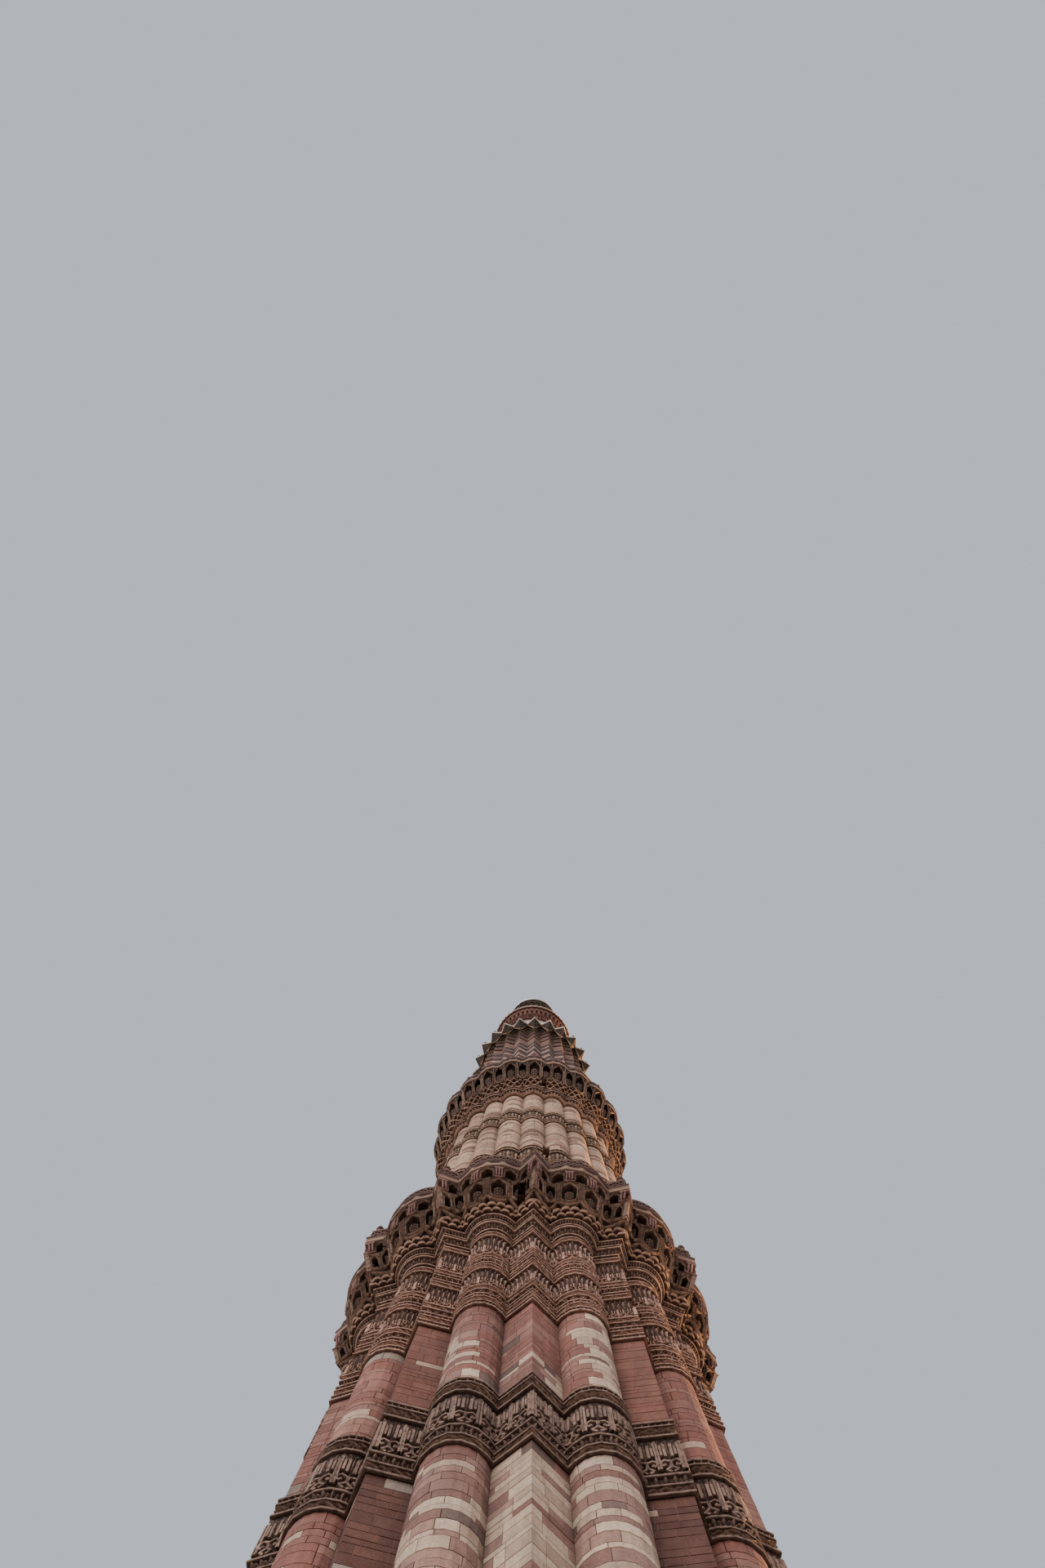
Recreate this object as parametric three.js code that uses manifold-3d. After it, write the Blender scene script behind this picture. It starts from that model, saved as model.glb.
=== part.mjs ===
// Fluted stone minaret of five storeys, as a half-size model.
// Levels and radii below are those of the real tower in metres; M turns them into model millimetres.
// The front, flute 0, looks along -Y, and the entrance and the balcony doorways open at the back.
import * as THREE from "three";
import { mergeVertices } from "three/addons/utils/BufferGeometryUtils.js";
import Module from "manifold-3d";

const wasm = await Module();
wasm.setup();

// One metre of the tower in millimetres of this model, and the dry joint between touching pieces.
const M = 500;
const JOINT = 0.3;

// The shaft has 24 flutes. Outlines start at the crown of the flute 45 degrees left of the front.
const FLUTES = 24;
const PITCH = (2 * Math.PI) / FLUTES;
const QUARTERS = ["front", "right", "back", "left"];
const FLUTES_IN_QUARTER = FLUTES / QUARTERS.length;
const FIRST_FLUTE = -FLUTES_IN_QUARTER / 2;

// Floors and other levels, in metres above the ground.
const PLINTH_TOP = 0.6;
const DOOR_HEAD = 3.6;
const CORBEL_FOOT = { 1: 26.73, 2: 41.9, 3: 56.2, 4: 63.6, 5: 70.3 };
const FLOOR = { 1: 29.5, 2: 44.95, 3: 57.2, 4: 65.2, 5: 71.75 };
const MARBLE_TOP = 62.3;
const RAIL_TOP = 72.55;

// Radius to the crown of the flutes, at the foot and at the top of each storey.
const CROWN = {
  1: { foot: 7.16, top: 4.74 },
  2: { foot: 4.25, top: 3.73 },
  3: { foot: 3.5, top: 3.12 },
  4: { foot: 2.62, top: 2.35 },
  5: { foot: 1.85, top: 1.45 },
};
const HOLLOW = { 1: 3.9, 2: 2.9, 3: 2.35, 4: 1.8, 5: 1.35, 6: 0.95 };
const PLINTH_RADIUS = 7.6;

// Flute sections, as shares of the crown radius, and the half angle of the wedge flutes.
const ROUND_1 = 0.1187;
const WEDGE_1 = THREE.MathUtils.degToRad(50);
const ROUND_2 = 0.1436;
const VALLEY_3 = 0.909;
const ARC_STEPS_1 = 4;
const ARC_STEPS_2 = 4;

// Balcony edges: wedge tip, crown of the round lobes, radius of the lobes, valley of the star.
const EDGE_1 = { tip: 5.85, crown: 5.7, lobe: 1.45, half: THREE.MathUtils.degToRad(45) };
const EDGE_2 = { crown: 4.6, lobe: 0.95 };
const EDGE_3 = { tip: 3.62, valley: 3.24 };
const EDGE_4 = 2.6;
const EDGE_5 = 1.72;

// Openings. The slots run straight through the wall, beside the front flute.
const ENTRANCE = { width: 1.9, clear: 1.2, spring: 1.55, head: 2.45, face: 6.85, depth: 0.6 };
const BALCONY_DOOR = { width: 0.8, height: 1.9 };
const SLOTS = {
  balcony_1_corbel: { x: -0.36, width: 0.22, foot: 27.75, head: 28.5, far: 5.9 },
  storey_2_wall_front: { x: 0.5, width: 0.24, foot: 34.4, head: 35.5, far: 4.6 },
  balcony_2_corbel: { x: 0.46, width: 0.2, foot: 42.6, head: 43.2, far: 4.8 },
};

const STONE = { pink: 0x8a6257, cream: 0xb39c88, carved: 0x5c4a40, red: 0x6a3f33, marble: 0xd5cabd };
const stone = (name) =>
  new THREE.MeshStandardMaterial({ color: STONE[name], roughness: 0.9, metalness: 0 });
const steel = new THREE.MeshStandardMaterial({ color: 0xb9bcc0, roughness: 0.35, metalness: 1 });

const tower = new THREE.Group();

function place(name, geometry, material) {
  const mesh = new THREE.Mesh(geometry, material);
  mesh.name = name;
  tower.add(mesh);
  return mesh;
}

// A point at a radius in metres, at an angle in radians from the front towards the right.
function polar(radius, angle) {
  return [radius * M * Math.sin(angle), -radius * M * Math.cos(angle)];
}

const mix = (a, b, share) => a + (b - a) * share;

// Distance from the axis to a round lobe, at an angle from the middle of the lobe.
function lobeReach(crown, lobe, angle) {
  const centre = crown - lobe;
  return centre * Math.cos(angle) + Math.sqrt(lobe ** 2 - (centre * Math.sin(angle)) ** 2);
}

// Where the face of a wedge flute meets the round flute beside it: its angle from the wedge's tip.
function wedgeMeetsLobe({ tip, crown, lobe, half }) {
  const centre = crown - lobe;
  const cx = centre * Math.sin(PITCH);
  const cy = centre * Math.cos(PITCH);
  const b = cx * Math.sin(half) + (tip - cy) * Math.cos(half);
  const c = cx ** 2 + (tip - cy) ** 2 - lobe ** 2;
  const along = b - Math.sqrt(b ** 2 - c);
  return Math.atan2(along * Math.sin(half), tip - along * Math.cos(half));
}

// First storey: round flutes (odd) and wedge flutes (even) take turns.
function mixedOutline(section) {
  const points = [];
  const valley = PITCH - wedgeMeetsLobe(section);
  for (let k = FIRST_FLUTE; k < FIRST_FLUTE + FLUTES; k++) {
    if (k % 2 === 0) {
      points.push(polar(section.tip, k * PITCH));
      continue;
    }
    for (let i = -ARC_STEPS_1 / 2; i <= ARC_STEPS_1 / 2; i++) {
      const angle = (2 * i * valley) / ARC_STEPS_1;
      points.push(polar(lobeReach(section.crown, section.lobe, angle), k * PITCH + angle));
    }
  }
  // The list begins half way along the first round flute, at its crown.
  return points.slice(ARC_STEPS_1 / 2).concat(points.slice(0, ARC_STEPS_1 / 2));
}

// Second storey: 24 round flutes.
function roundOutline({ crown, lobe }) {
  const points = [];
  for (let i = 0; i < FLUTES * ARC_STEPS_2; i++) {
    const flutes = i / ARC_STEPS_2;
    const angle = (flutes - Math.round(flutes)) * PITCH;
    points.push(polar(lobeReach(crown, lobe, angle), (FIRST_FLUTE + flutes) * PITCH));
  }
  return points;
}

// Third storey: 24 wedge flutes.
function starOutline({ tip, valley }) {
  const points = [];
  for (let i = 0; i < 2 * FLUTES; i++)
    points.push(polar(i % 2 ? valley : tip, (FIRST_FLUTE + i / 2) * PITCH));
  return points;
}

// Fourth and fifth storeys: a plain drum.
function drumOutline({ radius }) {
  const points = [];
  for (let i = 0; i < 2 * FLUTES; i++) points.push(polar(radius, (FIRST_FLUTE + i / 2) * PITCH));
  return points;
}

// Moves each point out by a distance in millimetres, square to its two neighbouring sides.
function grow(points, distance) {
  const count = points.length;
  return points.map(([x, y], i) => {
    const [ax, ay] = points[(i + count - 1) % count];
    const [bx, by] = points[(i + 1) % count];
    const before = Math.hypot(x - ax, y - ay);
    const after = Math.hypot(bx - x, by - y);
    const n1 = [(y - ay) / before, -(x - ax) / before];
    const n2 = [(by - y) / after, -(bx - x) / after];
    const spread = 1 + n1[0] * n2[0] + n1[1] * n2[1];
    return [x + (distance * (n1[0] + n2[0])) / spread, y + (distance * (n1[1] + n2[1])) / spread];
  });
}

// Inner outline: a circle with one point facing each point of the outer outline.
function hollowFor(outer, radius) {
  return outer.map(([x, y]) => {
    const scale = (radius * M) / Math.hypot(x, y);
    return [x * scale, y * scale];
  });
}

// The section of each storey's shaft at a height, in metres.
const share = (storey, z) => {
  const foot = storey === 1 ? PLINTH_TOP : FLOOR[storey - 1];
  return (z - foot) / (CORBEL_FOOT[storey] - foot);
};
const crownAt = (storey, z) => mix(CROWN[storey].foot, CROWN[storey].top, share(storey, z));
const hollowAt = (storey, z) => mix(HOLLOW[storey], HOLLOW[storey + 1], share(storey, z));

const SHAFT = {
  1: (r) => mixedOutline({ tip: r, crown: r, lobe: ROUND_1 * r, half: WEDGE_1 }),
  2: (r) => roundOutline({ crown: r, lobe: ROUND_2 * r }),
  3: (r) => starOutline({ tip: r, valley: VALLEY_3 * r }),
  4: (r) => drumOutline({ radius: r }),
  5: (r) => drumOutline({ radius: r }),
};
const shaftOutline = (storey, z) => SHAFT[storey](crownAt(storey, z));

function geometryFrom(vertices, faces) {
  const geometry = new THREE.BufferGeometry();
  geometry.setAttribute("position", new THREE.Float32BufferAttribute(vertices.flat(), 3));
  geometry.setIndex(faces.flat());
  return geometry;
}

// A closed ring with an outer outline at every level, and a plain bore between the inner outlines
// of its first and last levels. With a part given, it is only the stretch of the ring between two
// points of the outlines, with flat ends; only a body of two levels is made in part.
function ringBody(levels, part = null) {
  const count = levels[0].outer.length;
  const first = part ? part.first : 0;
  const length = part ? part.last - part.first + 1 : count;
  const top = levels[levels.length - 1];
  const loops = levels.map(({ z, outer }) => [z, outer]);
  loops.push([top.z, top.inner], [levels[0].z, levels[0].inner]);
  const vertices = [];
  for (const [z, outline] of loops) {
    for (let i = 0; i < length; i++) vertices.push([...outline[(first + i) % count], z * M]);
  }
  const at = (loop, i) => (loop % loops.length) * length + (i % length);
  const faces = [];
  const quad = (a, b, c, d) => faces.push([a, b, c], [a, c, d]);
  for (let i = 0; i < (part ? length - 1 : length); i++) {
    for (let l = 0; l < loops.length; l++)
      quad(at(l, i), at(l, i + 1), at(l + 1, i + 1), at(l + 1, i));
  }
  if (part) {
    const end = length - 1;
    quad(at(0, 0), at(1, 0), at(2, 0), at(3, 0));
    quad(at(0, end), at(3, end), at(2, end), at(1, end));
  }
  return geometryFrom(vertices, faces);
}

// A solid slab with one outline all the way up.
function slabBody(outline, foot, top) {
  const count = outline.length;
  const vertices = [];
  for (const z of [foot, top]) {
    for (const [x, y] of outline) vertices.push([x, y, z * M]);
  }
  vertices.push([0, 0, foot * M], [0, 0, top * M]);
  const faces = [];
  for (let i = 0; i < count; i++) {
    const next = (i + 1) % count;
    faces.push([i, next, count + next], [i, count + next, count + i]);
    faces.push([next, i, 2 * count], [count + i, count + next, 2 * count + 1]);
  }
  return geometryFrom(vertices, faces);
}

function solidOf(geometry) {
  const bare = geometry.clone();
  bare.deleteAttribute("normal");
  bare.deleteAttribute("uv");
  const merged = mergeVertices(bare);
  return new wasm.Manifold(
    new wasm.Mesh({
      numProp: 3,
      vertProperties: new Float32Array(merged.attributes.position.array),
      triVerts: new Uint32Array(merged.index.array),
    }),
  );
}

function geometryOf(solid) {
  const { vertProperties, triVerts, numProp } = solid.getMesh();
  const vertices = [];
  for (let i = 0; i < vertProperties.length; i += numProp)
    vertices.push(Array.from(vertProperties.subarray(i, i + 3)));
  return geometryFrom(vertices, Array.from(triVerts));
}

function boxGeometry(low, high) {
  const size = low.map((value, i) => (high[i] - value) * M);
  const centre = low.map((value, i) => ((high[i] + value) / 2) * M);
  return new THREE.BoxGeometry(...size).translate(...centre);
}

function cut(geometry, boxes) {
  let solid = solidOf(geometry);
  for (const box of boxes) solid = solid.subtract(solidOf(box));
  return geometryOf(solid);
}

// A window slot, and a doorway at the back of the tower, both running out along Y.
const slotBox = ({ x, width, foot, head, far }) =>
  boxGeometry([x - width / 2, -far, foot], [x + width / 2, 0, head]);
const balconyDoorBox = (floor) =>
  boxGeometry(
    [-BALCONY_DOOR.width / 2, 0, floor - 1],
    [BALCONY_DOOR.width / 2, PLINTH_RADIUS, floor + BALCONY_DOOR.height],
  );

// Each quarter keeps clear of the next by the joint, half of it at either end.
function quarterBody(levels, quarter) {
  const count = levels[0].outer.length;
  const part = { first: (quarter * count) / 4, last: ((quarter + 1) * count) / 4 };
  const turn = (FIRST_FLUTE + quarter * FLUTES_IN_QUARTER) * PITCH;
  const ends = [
    [part.first, turn, 1],
    [part.last % count, turn + FLUTES_IN_QUARTER * PITCH, -1],
  ];
  const trimmed = levels.map(({ z, outer, inner }) => {
    const cutBack = (outline) => {
      const copy = outline.slice();
      for (const [i, angle, sense] of ends) {
        const shift = (sense * JOINT) / 2;
        const [x, y] = outline[i];
        copy[i] = [x + shift * Math.cos(angle), y + shift * Math.sin(angle)];
      }
      return copy;
    };
    return { z, outer: cutBack(outer), inner: cutBack(inner) };
  });
  return ringBody(trimmed, part);
}

// One quarter of a ring, clear of its neighbours by half a joint on either side.
function quarterOf(solid, quarter) {
  const middle = (FIRST_FLUTE + (quarter + 0.5) * FLUTES_IN_QUARTER) * PITCH;
  const [x, y] = polar(JOINT / M / 2 / Math.sin(Math.PI / 4), middle);
  const wedge = new THREE.Shape();
  wedge.moveTo(x, y);
  for (const side of [-Math.PI / 4, Math.PI / 4]) {
    const [farX, farY] = polar(2 * PLINTH_RADIUS, middle + side);
    wedge.lineTo(x + farX, y + farY);
  }
  wedge.closePath();
  const prism = new THREE.ExtrudeGeometry(wedge, { depth: RAIL_TOP * M, bevelEnabled: false });
  return geometryOf(solid.intersect(solidOf(prism)));
}

// Plain shaft between two heights; it stops half a joint short of what lies above and below.
function shaftLevels(storey, from, to) {
  const half = JOINT / M / 2;
  return [from + half, to - half].map((z) => {
    const outer = shaftOutline(storey, z);
    return { z, outer, inner: hollowFor(outer, hollowAt(storey, z)) };
  });
}

function buildPlinth() {
  const height = (PLINTH_TOP - JOINT / M / 2) * M;
  const slab = new THREE.CylinderGeometry(PLINTH_RADIUS * M, PLINTH_RADIUS * M, height, FLUTES);
  slab.rotateX(Math.PI / 2);
  slab.rotateZ(PITCH / 2);
  slab.translate(0, 0, height / 2);
  place("plinth", slab, stone("pink"));
}

// The foot of the tower, up to the head of the entrance, with the back wall split beside it.
function buildFoot() {
  const levels = shaftLevels(1, PLINTH_TOP, DOOR_HEAD);
  const half = ENTRANCE.width / 2;
  QUARTERS.forEach((side, quarter) => {
    const wall = quarterBody(levels, quarter);
    if (side !== "back") {
      place("storey_1_foot_" + side, wall, stone("cream"));
      return;
    }
    const beyond = PLINTH_RADIUS;
    const rightCut = boxGeometry([-beyond, 0, 0], [half, beyond, FLOOR[1]]);
    const leftCut = boxGeometry([-half, 0, 0], [beyond, beyond, FLOOR[1]]);
    place("entrance_jamb_right", cut(wall, [rightCut]), stone("cream"));
    place("entrance_jamb_left", cut(wall, [leftCut]), stone("cream"));
  });
}

// The stone frame of the entrance, with a pointed arch.
function buildEntranceArch() {
  const gap = JOINT / M;
  const half = ENTRANCE.width / 2 - gap;
  const clear = ENTRANCE.clear / 2;
  const top = DOOR_HEAD - PLINTH_TOP - gap * 2;
  const shape = new THREE.Shape();
  shape.moveTo(-half * M, 0);
  shape.lineTo(-clear * M, 0);
  shape.lineTo(-clear * M, ENTRANCE.spring * M);
  shape.quadraticCurveTo(-clear * M, (ENTRANCE.head - 0.2) * M, 0, ENTRANCE.head * M);
  shape.quadraticCurveTo(clear * M, (ENTRANCE.head - 0.2) * M, clear * M, ENTRANCE.spring * M);
  shape.lineTo(clear * M, 0);
  shape.lineTo(half * M, 0);
  shape.lineTo(half * M, top * M);
  shape.lineTo(-half * M, top * M);
  shape.closePath();
  const frame = new THREE.ExtrudeGeometry(shape, {
    depth: ENTRANCE.depth * M,
    bevelEnabled: false,
    curveSegments: 6,
  });
  const mesh = place("entrance_arch", frame, stone("carved"));
  mesh.rotation.x = Math.PI / 2;
  mesh.position.set(0, ENTRANCE.face * M, (PLINTH_TOP + gap) * M);
}

// The walls of the first two storeys stand in quarters; the slimmer ones above are single drums.
function buildQuarterWalls(storey, from, to, colour) {
  const levels = shaftLevels(storey, from, to);
  QUARTERS.forEach((side, quarter) => {
    const name = `storey_${storey}_wall_${side}`;
    const boxes = [];
    if (SLOTS[name]) boxes.push(slotBox(SLOTS[name]));
    if (side === "back" && storey > 1) boxes.push(balconyDoorBox(FLOOR[storey - 1]));
    place(name, cut(quarterBody(levels, quarter), boxes), stone(colour));
  });
}

function buildDrum(name, storey, from, to, colour) {
  const wall = ringBody(shaftLevels(storey, from, to));
  const boxes = from === FLOOR[storey - 1] ? [balconyDoorBox(from)] : [];
  place(name, cut(wall, boxes), stone(colour));
}

// Carved bands are slabs that clasp the shaft. The lowest one is open where the doorway passes.
const BANDS = [
  { name: "storey_1_band_lowest", storey: 1, from: 1.5, to: 3.2, proud: 0.06, open: true },
  { name: "storey_1_band_second", storey: 1, from: 6.2, to: 8.2, proud: 0.06 },
  { name: "storey_1_band_third", storey: 1, from: 11.5, to: 13.5, proud: 0.06 },
  { name: "storey_1_band_fourth", storey: 1, from: 17.2, to: 19.24, proud: 0.06 },
  { name: "storey_1_band_upper", storey: 1, from: 22.36, to: 26.7, proud: 0.06 },
  { name: "storey_2_band_lower", storey: 2, from: 33.6, to: 35.0, proud: 0.04, slot: true },
  { name: "storey_2_band_middle", storey: 2, from: 38.35, to: 39.6, proud: 0.04 },
];

function buildBand({ name, storey, from, to, proud, open, slot }) {
  const levels = [from, to].map((z) => {
    const wall = shaftOutline(storey, z);
    return { z, outer: grow(wall, proud * M), inner: grow(wall, JOINT) };
  });
  const boxes = [];
  const beside = ENTRANCE.width / 2 + 0.02;
  if (open) boxes.push(boxGeometry([-beside, 0, 0], [beside, PLINTH_RADIUS, DOOR_HEAD]));
  if (slot) boxes.push(slotBox(SLOTS.storey_2_wall_front));
  place(name, cut(ringBody(levels), boxes), stone("carved"));
}

// Corbels step out from the shaft's section to the balcony's edge; reach says how far at each level.
function corbelLevels(storey, profile, sectionAt) {
  const half = JOINT / M / 2;
  const top = profile.length - 1;
  return profile.map(([z, reach], i) => {
    const outer = sectionAt(reach);
    const inset = i === 0 ? half : i === top ? -half : 0;
    return { z: z + inset, outer, inner: hollowFor(outer, HOLLOW[storey + 1]) };
  });
}

const CORBEL_1 = [
  [CORBEL_FOOT[1], 0.01],
  [26.82, 0.04],
  [26.83, 0.17],
  [27.1, 0.17],
  [27.11, 0.25],
  [27.32, 0.28],
  [27.75, 0.48],
  [28.6, 0.78],
  [29.2, 0.92],
];
const corbelSection1 = (reach) =>
  mixedOutline({
    tip: mix(CROWN[1].top, EDGE_1.tip, reach),
    crown: mix(CROWN[1].top, EDGE_1.crown, reach),
    lobe: mix(ROUND_1 * CROWN[1].top, EDGE_1.lobe, reach),
    half: mix(WEDGE_1, EDGE_1.half, reach),
  });

const CORBEL_2 = [
  [CORBEL_FOOT[2], 0.02],
  [41.91, 0.12],
  [42.11, 0.22],
  [42.4, 0.26],
  [43.15, 0.58],
  [43.6, 0.7],
  [44.5, 0.92],
];
const corbelSection2 = (reach) =>
  roundOutline({
    crown: mix(CROWN[2].top, EDGE_2.crown, reach),
    lobe: mix(ROUND_2 * CROWN[2].top, EDGE_2.lobe, reach),
  });

const CORBEL_3 = [
  [CORBEL_FOOT[3], 0.05],
  [56.6, 0.4],
  [57.02, 0.9],
];
const corbelSection3 = (reach) =>
  starOutline({
    tip: mix(CROWN[3].top, EDGE_3.tip, reach),
    valley: mix(VALLEY_3 * CROWN[3].top, EDGE_3.valley, reach),
  });

const CORBEL_4 = [
  [CORBEL_FOOT[4], 0.05],
  [64.2, 0.25],
  [64.7, 0.6],
  [65.05, 0.94],
];
const corbelSection4 = (reach) => drumOutline({ radius: mix(CROWN[4].top, EDGE_4, reach) });

const CORBEL_5 = [
  [CORBEL_FOOT[5], 0.05],
  [70.9, 0.35],
  [71.3, 0.75],
  [71.6, 0.95],
];
const corbelSection5 = (reach) => drumOutline({ radius: mix(CROWN[5].top, EDGE_5, reach) });

// The floor slab of a balcony, whose edge crowns the corbel. It is the floor inside its doorway too.
function buildFloor(storey, foot, sectionAt, colour) {
  const half = JOINT / M / 2;
  const slab = slabBody(sectionAt(1), foot + half, FLOOR[storey] - half);
  place(`balcony_${storey}_floor`, slab, stone(colour));
}

// The parapet is a ring of thin slabs. On the two wide balconies every tip and crown carries a
// small post, whose place is that of the outline's point there.
function buildParapet(storey, sectionAt, { height, thick, inset, post, postHeight }, colour) {
  const foot = FLOOR[storey] + JOINT / M / 2;
  const edge = sectionAt(1);
  const outer = grow(edge, -inset * M);
  const inner = grow(edge, -(inset + thick) * M);
  let ring = solidOf(ringBody([foot, foot + height].map((z) => ({ z, outer, inner }))));
  for (let k = 0; post && k < FLUTES; k++) {
    const angle = (FIRST_FLUTE + k) * PITCH;
    const [x, y] = inner[pointOfFlute(storey, k)];
    const shaft = new THREE.CylinderGeometry(post * M * 0.7, post * M, postHeight * M, 4);
    shaft.rotateX(Math.PI / 2);
    shaft.rotateZ(Math.PI / 4 + angle);
    const out = polar(thick / 2, angle);
    shaft.translate(x + out[0], y + out[1], (foot + postHeight / 2) * M);
    ring = ring.add(solidOf(shaft));
  }
  place(`balcony_${storey}_parapet`, geometryOf(ring), stone(colour));
}

// Where in a balcony's outline the tip or crown of its k-th flute is, counted from the first.
function pointOfFlute(storey, k) {
  if (storey === 2) return k * ARC_STEPS_2;
  const pair = ARC_STEPS_1 + 2;
  return k % 2 ? ((k - 1) * pair) / 2 + pair / 2 : (k * pair) / 2;
}

// The window slot parts the front quarter into the masonry on either side, a sill and a lintel.
function partAtSlot(name, geometry, { x, width, foot, head }) {
  const solid = solidOf(geometry);
  const gap = JOINT / M / 2;
  const far = PLINTH_RADIUS;
  const left = x - width / 2;
  const right = x + width / 2;
  const keep = (low, high) => geometryOf(solid.intersect(solidOf(boxGeometry(low, high))));
  return {
    [`${name}_front_left`]: keep([-far, -far, 0], [left - gap, far, RAIL_TOP]),
    [`${name}_front_right`]: keep([right + gap, -far, 0], [far, far, RAIL_TOP]),
    balcony_1_slot_sill: keep([left + gap, -far, 0], [right - gap, far, foot]),
    balcony_1_slot_lintel: keep([left + gap, -far, head], [right - gap, far, RAIL_TOP]),
  };
}

// The first corbel, the widest, stands in quarters as the walls below it do.
function buildBalcony(storey, profile, sectionAt, parapet, colours) {
  const name = `balcony_${storey}_corbel`;
  const boxes = SLOTS[name] ? [slotBox(SLOTS[name])] : [];
  const corbel = cut(ringBody(corbelLevels(storey, profile, sectionAt)), boxes);
  if (storey === 1) {
    QUARTERS.forEach((side, quarter) => {
      const piece = quarterOf(solidOf(corbel), quarter);
      const parts = side === "front" ? partAtSlot(name, piece, SLOTS[name]) : {};
      if (side !== "front") parts[`${name}_${side}`] = piece;
      for (const part in parts) place(part, parts[part], stone(colours.corbel));
    });
  } else {
    place(name, corbel, stone(colours.corbel));
  }
  buildFloor(storey, profile[profile.length - 1][0], sectionAt, colours.floor);
  buildParapet(storey, sectionAt, parapet, colours.parapet);
}

// The top platform: a solid round slab over the last corbel, with a steel rail of two hoops.
function buildTop() {
  place("top_corbel", ringBody(corbelLevels(5, CORBEL_5, corbelSection5)), stone("red"));
  const half = JOINT / M / 2;
  const foot = CORBEL_5[CORBEL_5.length - 1][0] + half;
  const height = (FLOOR[5] - half - foot) * M;
  const slab = new THREE.CylinderGeometry(EDGE_5 * M, EDGE_5 * M, height, 2 * FLUTES);
  slab.rotateX(Math.PI / 2);
  slab.translate(0, 0, foot * M + height / 2);
  place("top_platform", slab, stone("red"));
}

const RAIL = { radius: 1.66, bar: 0.035, post: 0.03, posts: 8, sides: 4, steps: 24, middle: 72.15 };

function buildRail() {
  const foot = FLOOR[5] + JOINT / M / 2;
  const hoop = (z) => {
    const ring = new THREE.TorusGeometry(RAIL.radius * M, RAIL.bar * M, RAIL.sides, RAIL.steps);
    ring.translate(0, 0, z * M);
    return solidOf(ring);
  };
  let rail = hoop(RAIL_TOP - RAIL.bar).add(hoop(RAIL.middle));
  const height = RAIL_TOP - RAIL.bar - foot;
  for (let i = 0; i < RAIL.posts; i++) {
    const post = new THREE.CylinderGeometry(RAIL.post * M, RAIL.post * M, height * M, RAIL.sides);
    post.rotateX(Math.PI / 2);
    const [x, y] = polar(RAIL.radius, (i * 2 * Math.PI) / RAIL.posts);
    post.translate(x, y, (foot + height / 2) * M);
    rail = rail.add(solidOf(post));
  }
  place("top_rail", geometryOf(rail), steel);
}

buildPlinth();
buildFoot();
buildEntranceArch();
buildQuarterWalls(1, DOOR_HEAD, CORBEL_FOOT[1], "pink");
buildQuarterWalls(2, FLOOR[1], CORBEL_FOOT[2], "cream");
buildDrum("storey_3_wall", 3, FLOOR[2], CORBEL_FOOT[3], "cream");
buildDrum("storey_4_marble_drum", 4, FLOOR[3], MARBLE_TOP, "marble");
buildDrum("storey_4_upper_drum", 4, MARBLE_TOP, CORBEL_FOOT[4], "red");
buildDrum("storey_5_drum", 5, FLOOR[4], CORBEL_FOOT[5], "marble");
BANDS.forEach(buildBand);

const SLAB = { height: 0.55, thick: 0.14, inset: 0.06, post: 0.09, postHeight: 1.0 };
const LOW_SLAB = { height: 0.45, thick: 0.12, inset: 0.05, post: 0.07, postHeight: 0.75 };
const PLAIN_SLAB = { height: 0.45, thick: 0.12, inset: 0.05 };
const colours = { corbel: "carved", floor: "pink", parapet: "pink" };
buildBalcony(1, CORBEL_1, corbelSection1, SLAB, colours);
buildBalcony(2, CORBEL_2, corbelSection2, LOW_SLAB, colours);
buildBalcony(3, CORBEL_3, corbelSection3, PLAIN_SLAB, { ...colours, floor: "marble" });
buildBalcony(4, CORBEL_4, corbelSection4, PLAIN_SLAB, { ...colours, corbel: "red" });
buildTop();
buildRail();

export default tower;
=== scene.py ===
"""Five-storey fluted stone minaret, a half-size model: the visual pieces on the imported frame."""
import math
import random

import bmesh
import bpy
import numpy as np
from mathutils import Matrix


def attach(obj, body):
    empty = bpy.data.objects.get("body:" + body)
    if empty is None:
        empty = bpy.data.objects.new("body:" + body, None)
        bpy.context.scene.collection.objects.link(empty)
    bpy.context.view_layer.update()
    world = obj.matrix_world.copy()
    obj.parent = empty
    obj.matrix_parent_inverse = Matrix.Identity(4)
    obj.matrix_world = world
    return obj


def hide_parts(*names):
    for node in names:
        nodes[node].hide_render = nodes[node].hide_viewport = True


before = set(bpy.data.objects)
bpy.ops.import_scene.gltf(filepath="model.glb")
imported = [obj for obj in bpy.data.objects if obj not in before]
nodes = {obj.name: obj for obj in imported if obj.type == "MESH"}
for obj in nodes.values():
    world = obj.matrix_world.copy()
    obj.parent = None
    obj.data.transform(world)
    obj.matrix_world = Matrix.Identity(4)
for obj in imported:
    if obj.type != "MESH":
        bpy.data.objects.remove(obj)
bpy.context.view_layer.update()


# CAMERA, LIGHT AND FLOOR. The eye is at standing height in front of the tower and looks up
# steeply. A low warm sun from the right and behind it, a pale sky and a pale floor light it.
EYE = (-0.23439, -8.19165, 0.8)
EYE_TURN = (-178.1473871, -1.0246766, -3.1225068)  # degrees
LENS, SENSOR = 20.3775, 36  # millimetres
FLOOR_HALF = 90


def new_object(name, data):
    made = bpy.data.objects.new(name, data)
    bpy.context.collection.objects.link(made)
    return made


def linear(hex_colour):
    """sRGB hex to linear light."""
    values = [int(hex_colour[i : i + 2], 16) / 255 for i in (1, 3, 5)]
    return np.array([v / 12.92 if v <= 0.04045 else ((v + 0.055) / 1.055) ** 2.4 for v in values])


camera = new_object("camera", bpy.data.cameras.new("camera"))
camera.location = EYE
camera.rotation_euler = [math.radians(a) for a in EYE_TURN]
camera.data.sensor_width = SENSOR
camera.data.lens = LENS
camera.data.clip_end = 500
bpy.context.scene.camera = camera


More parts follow.
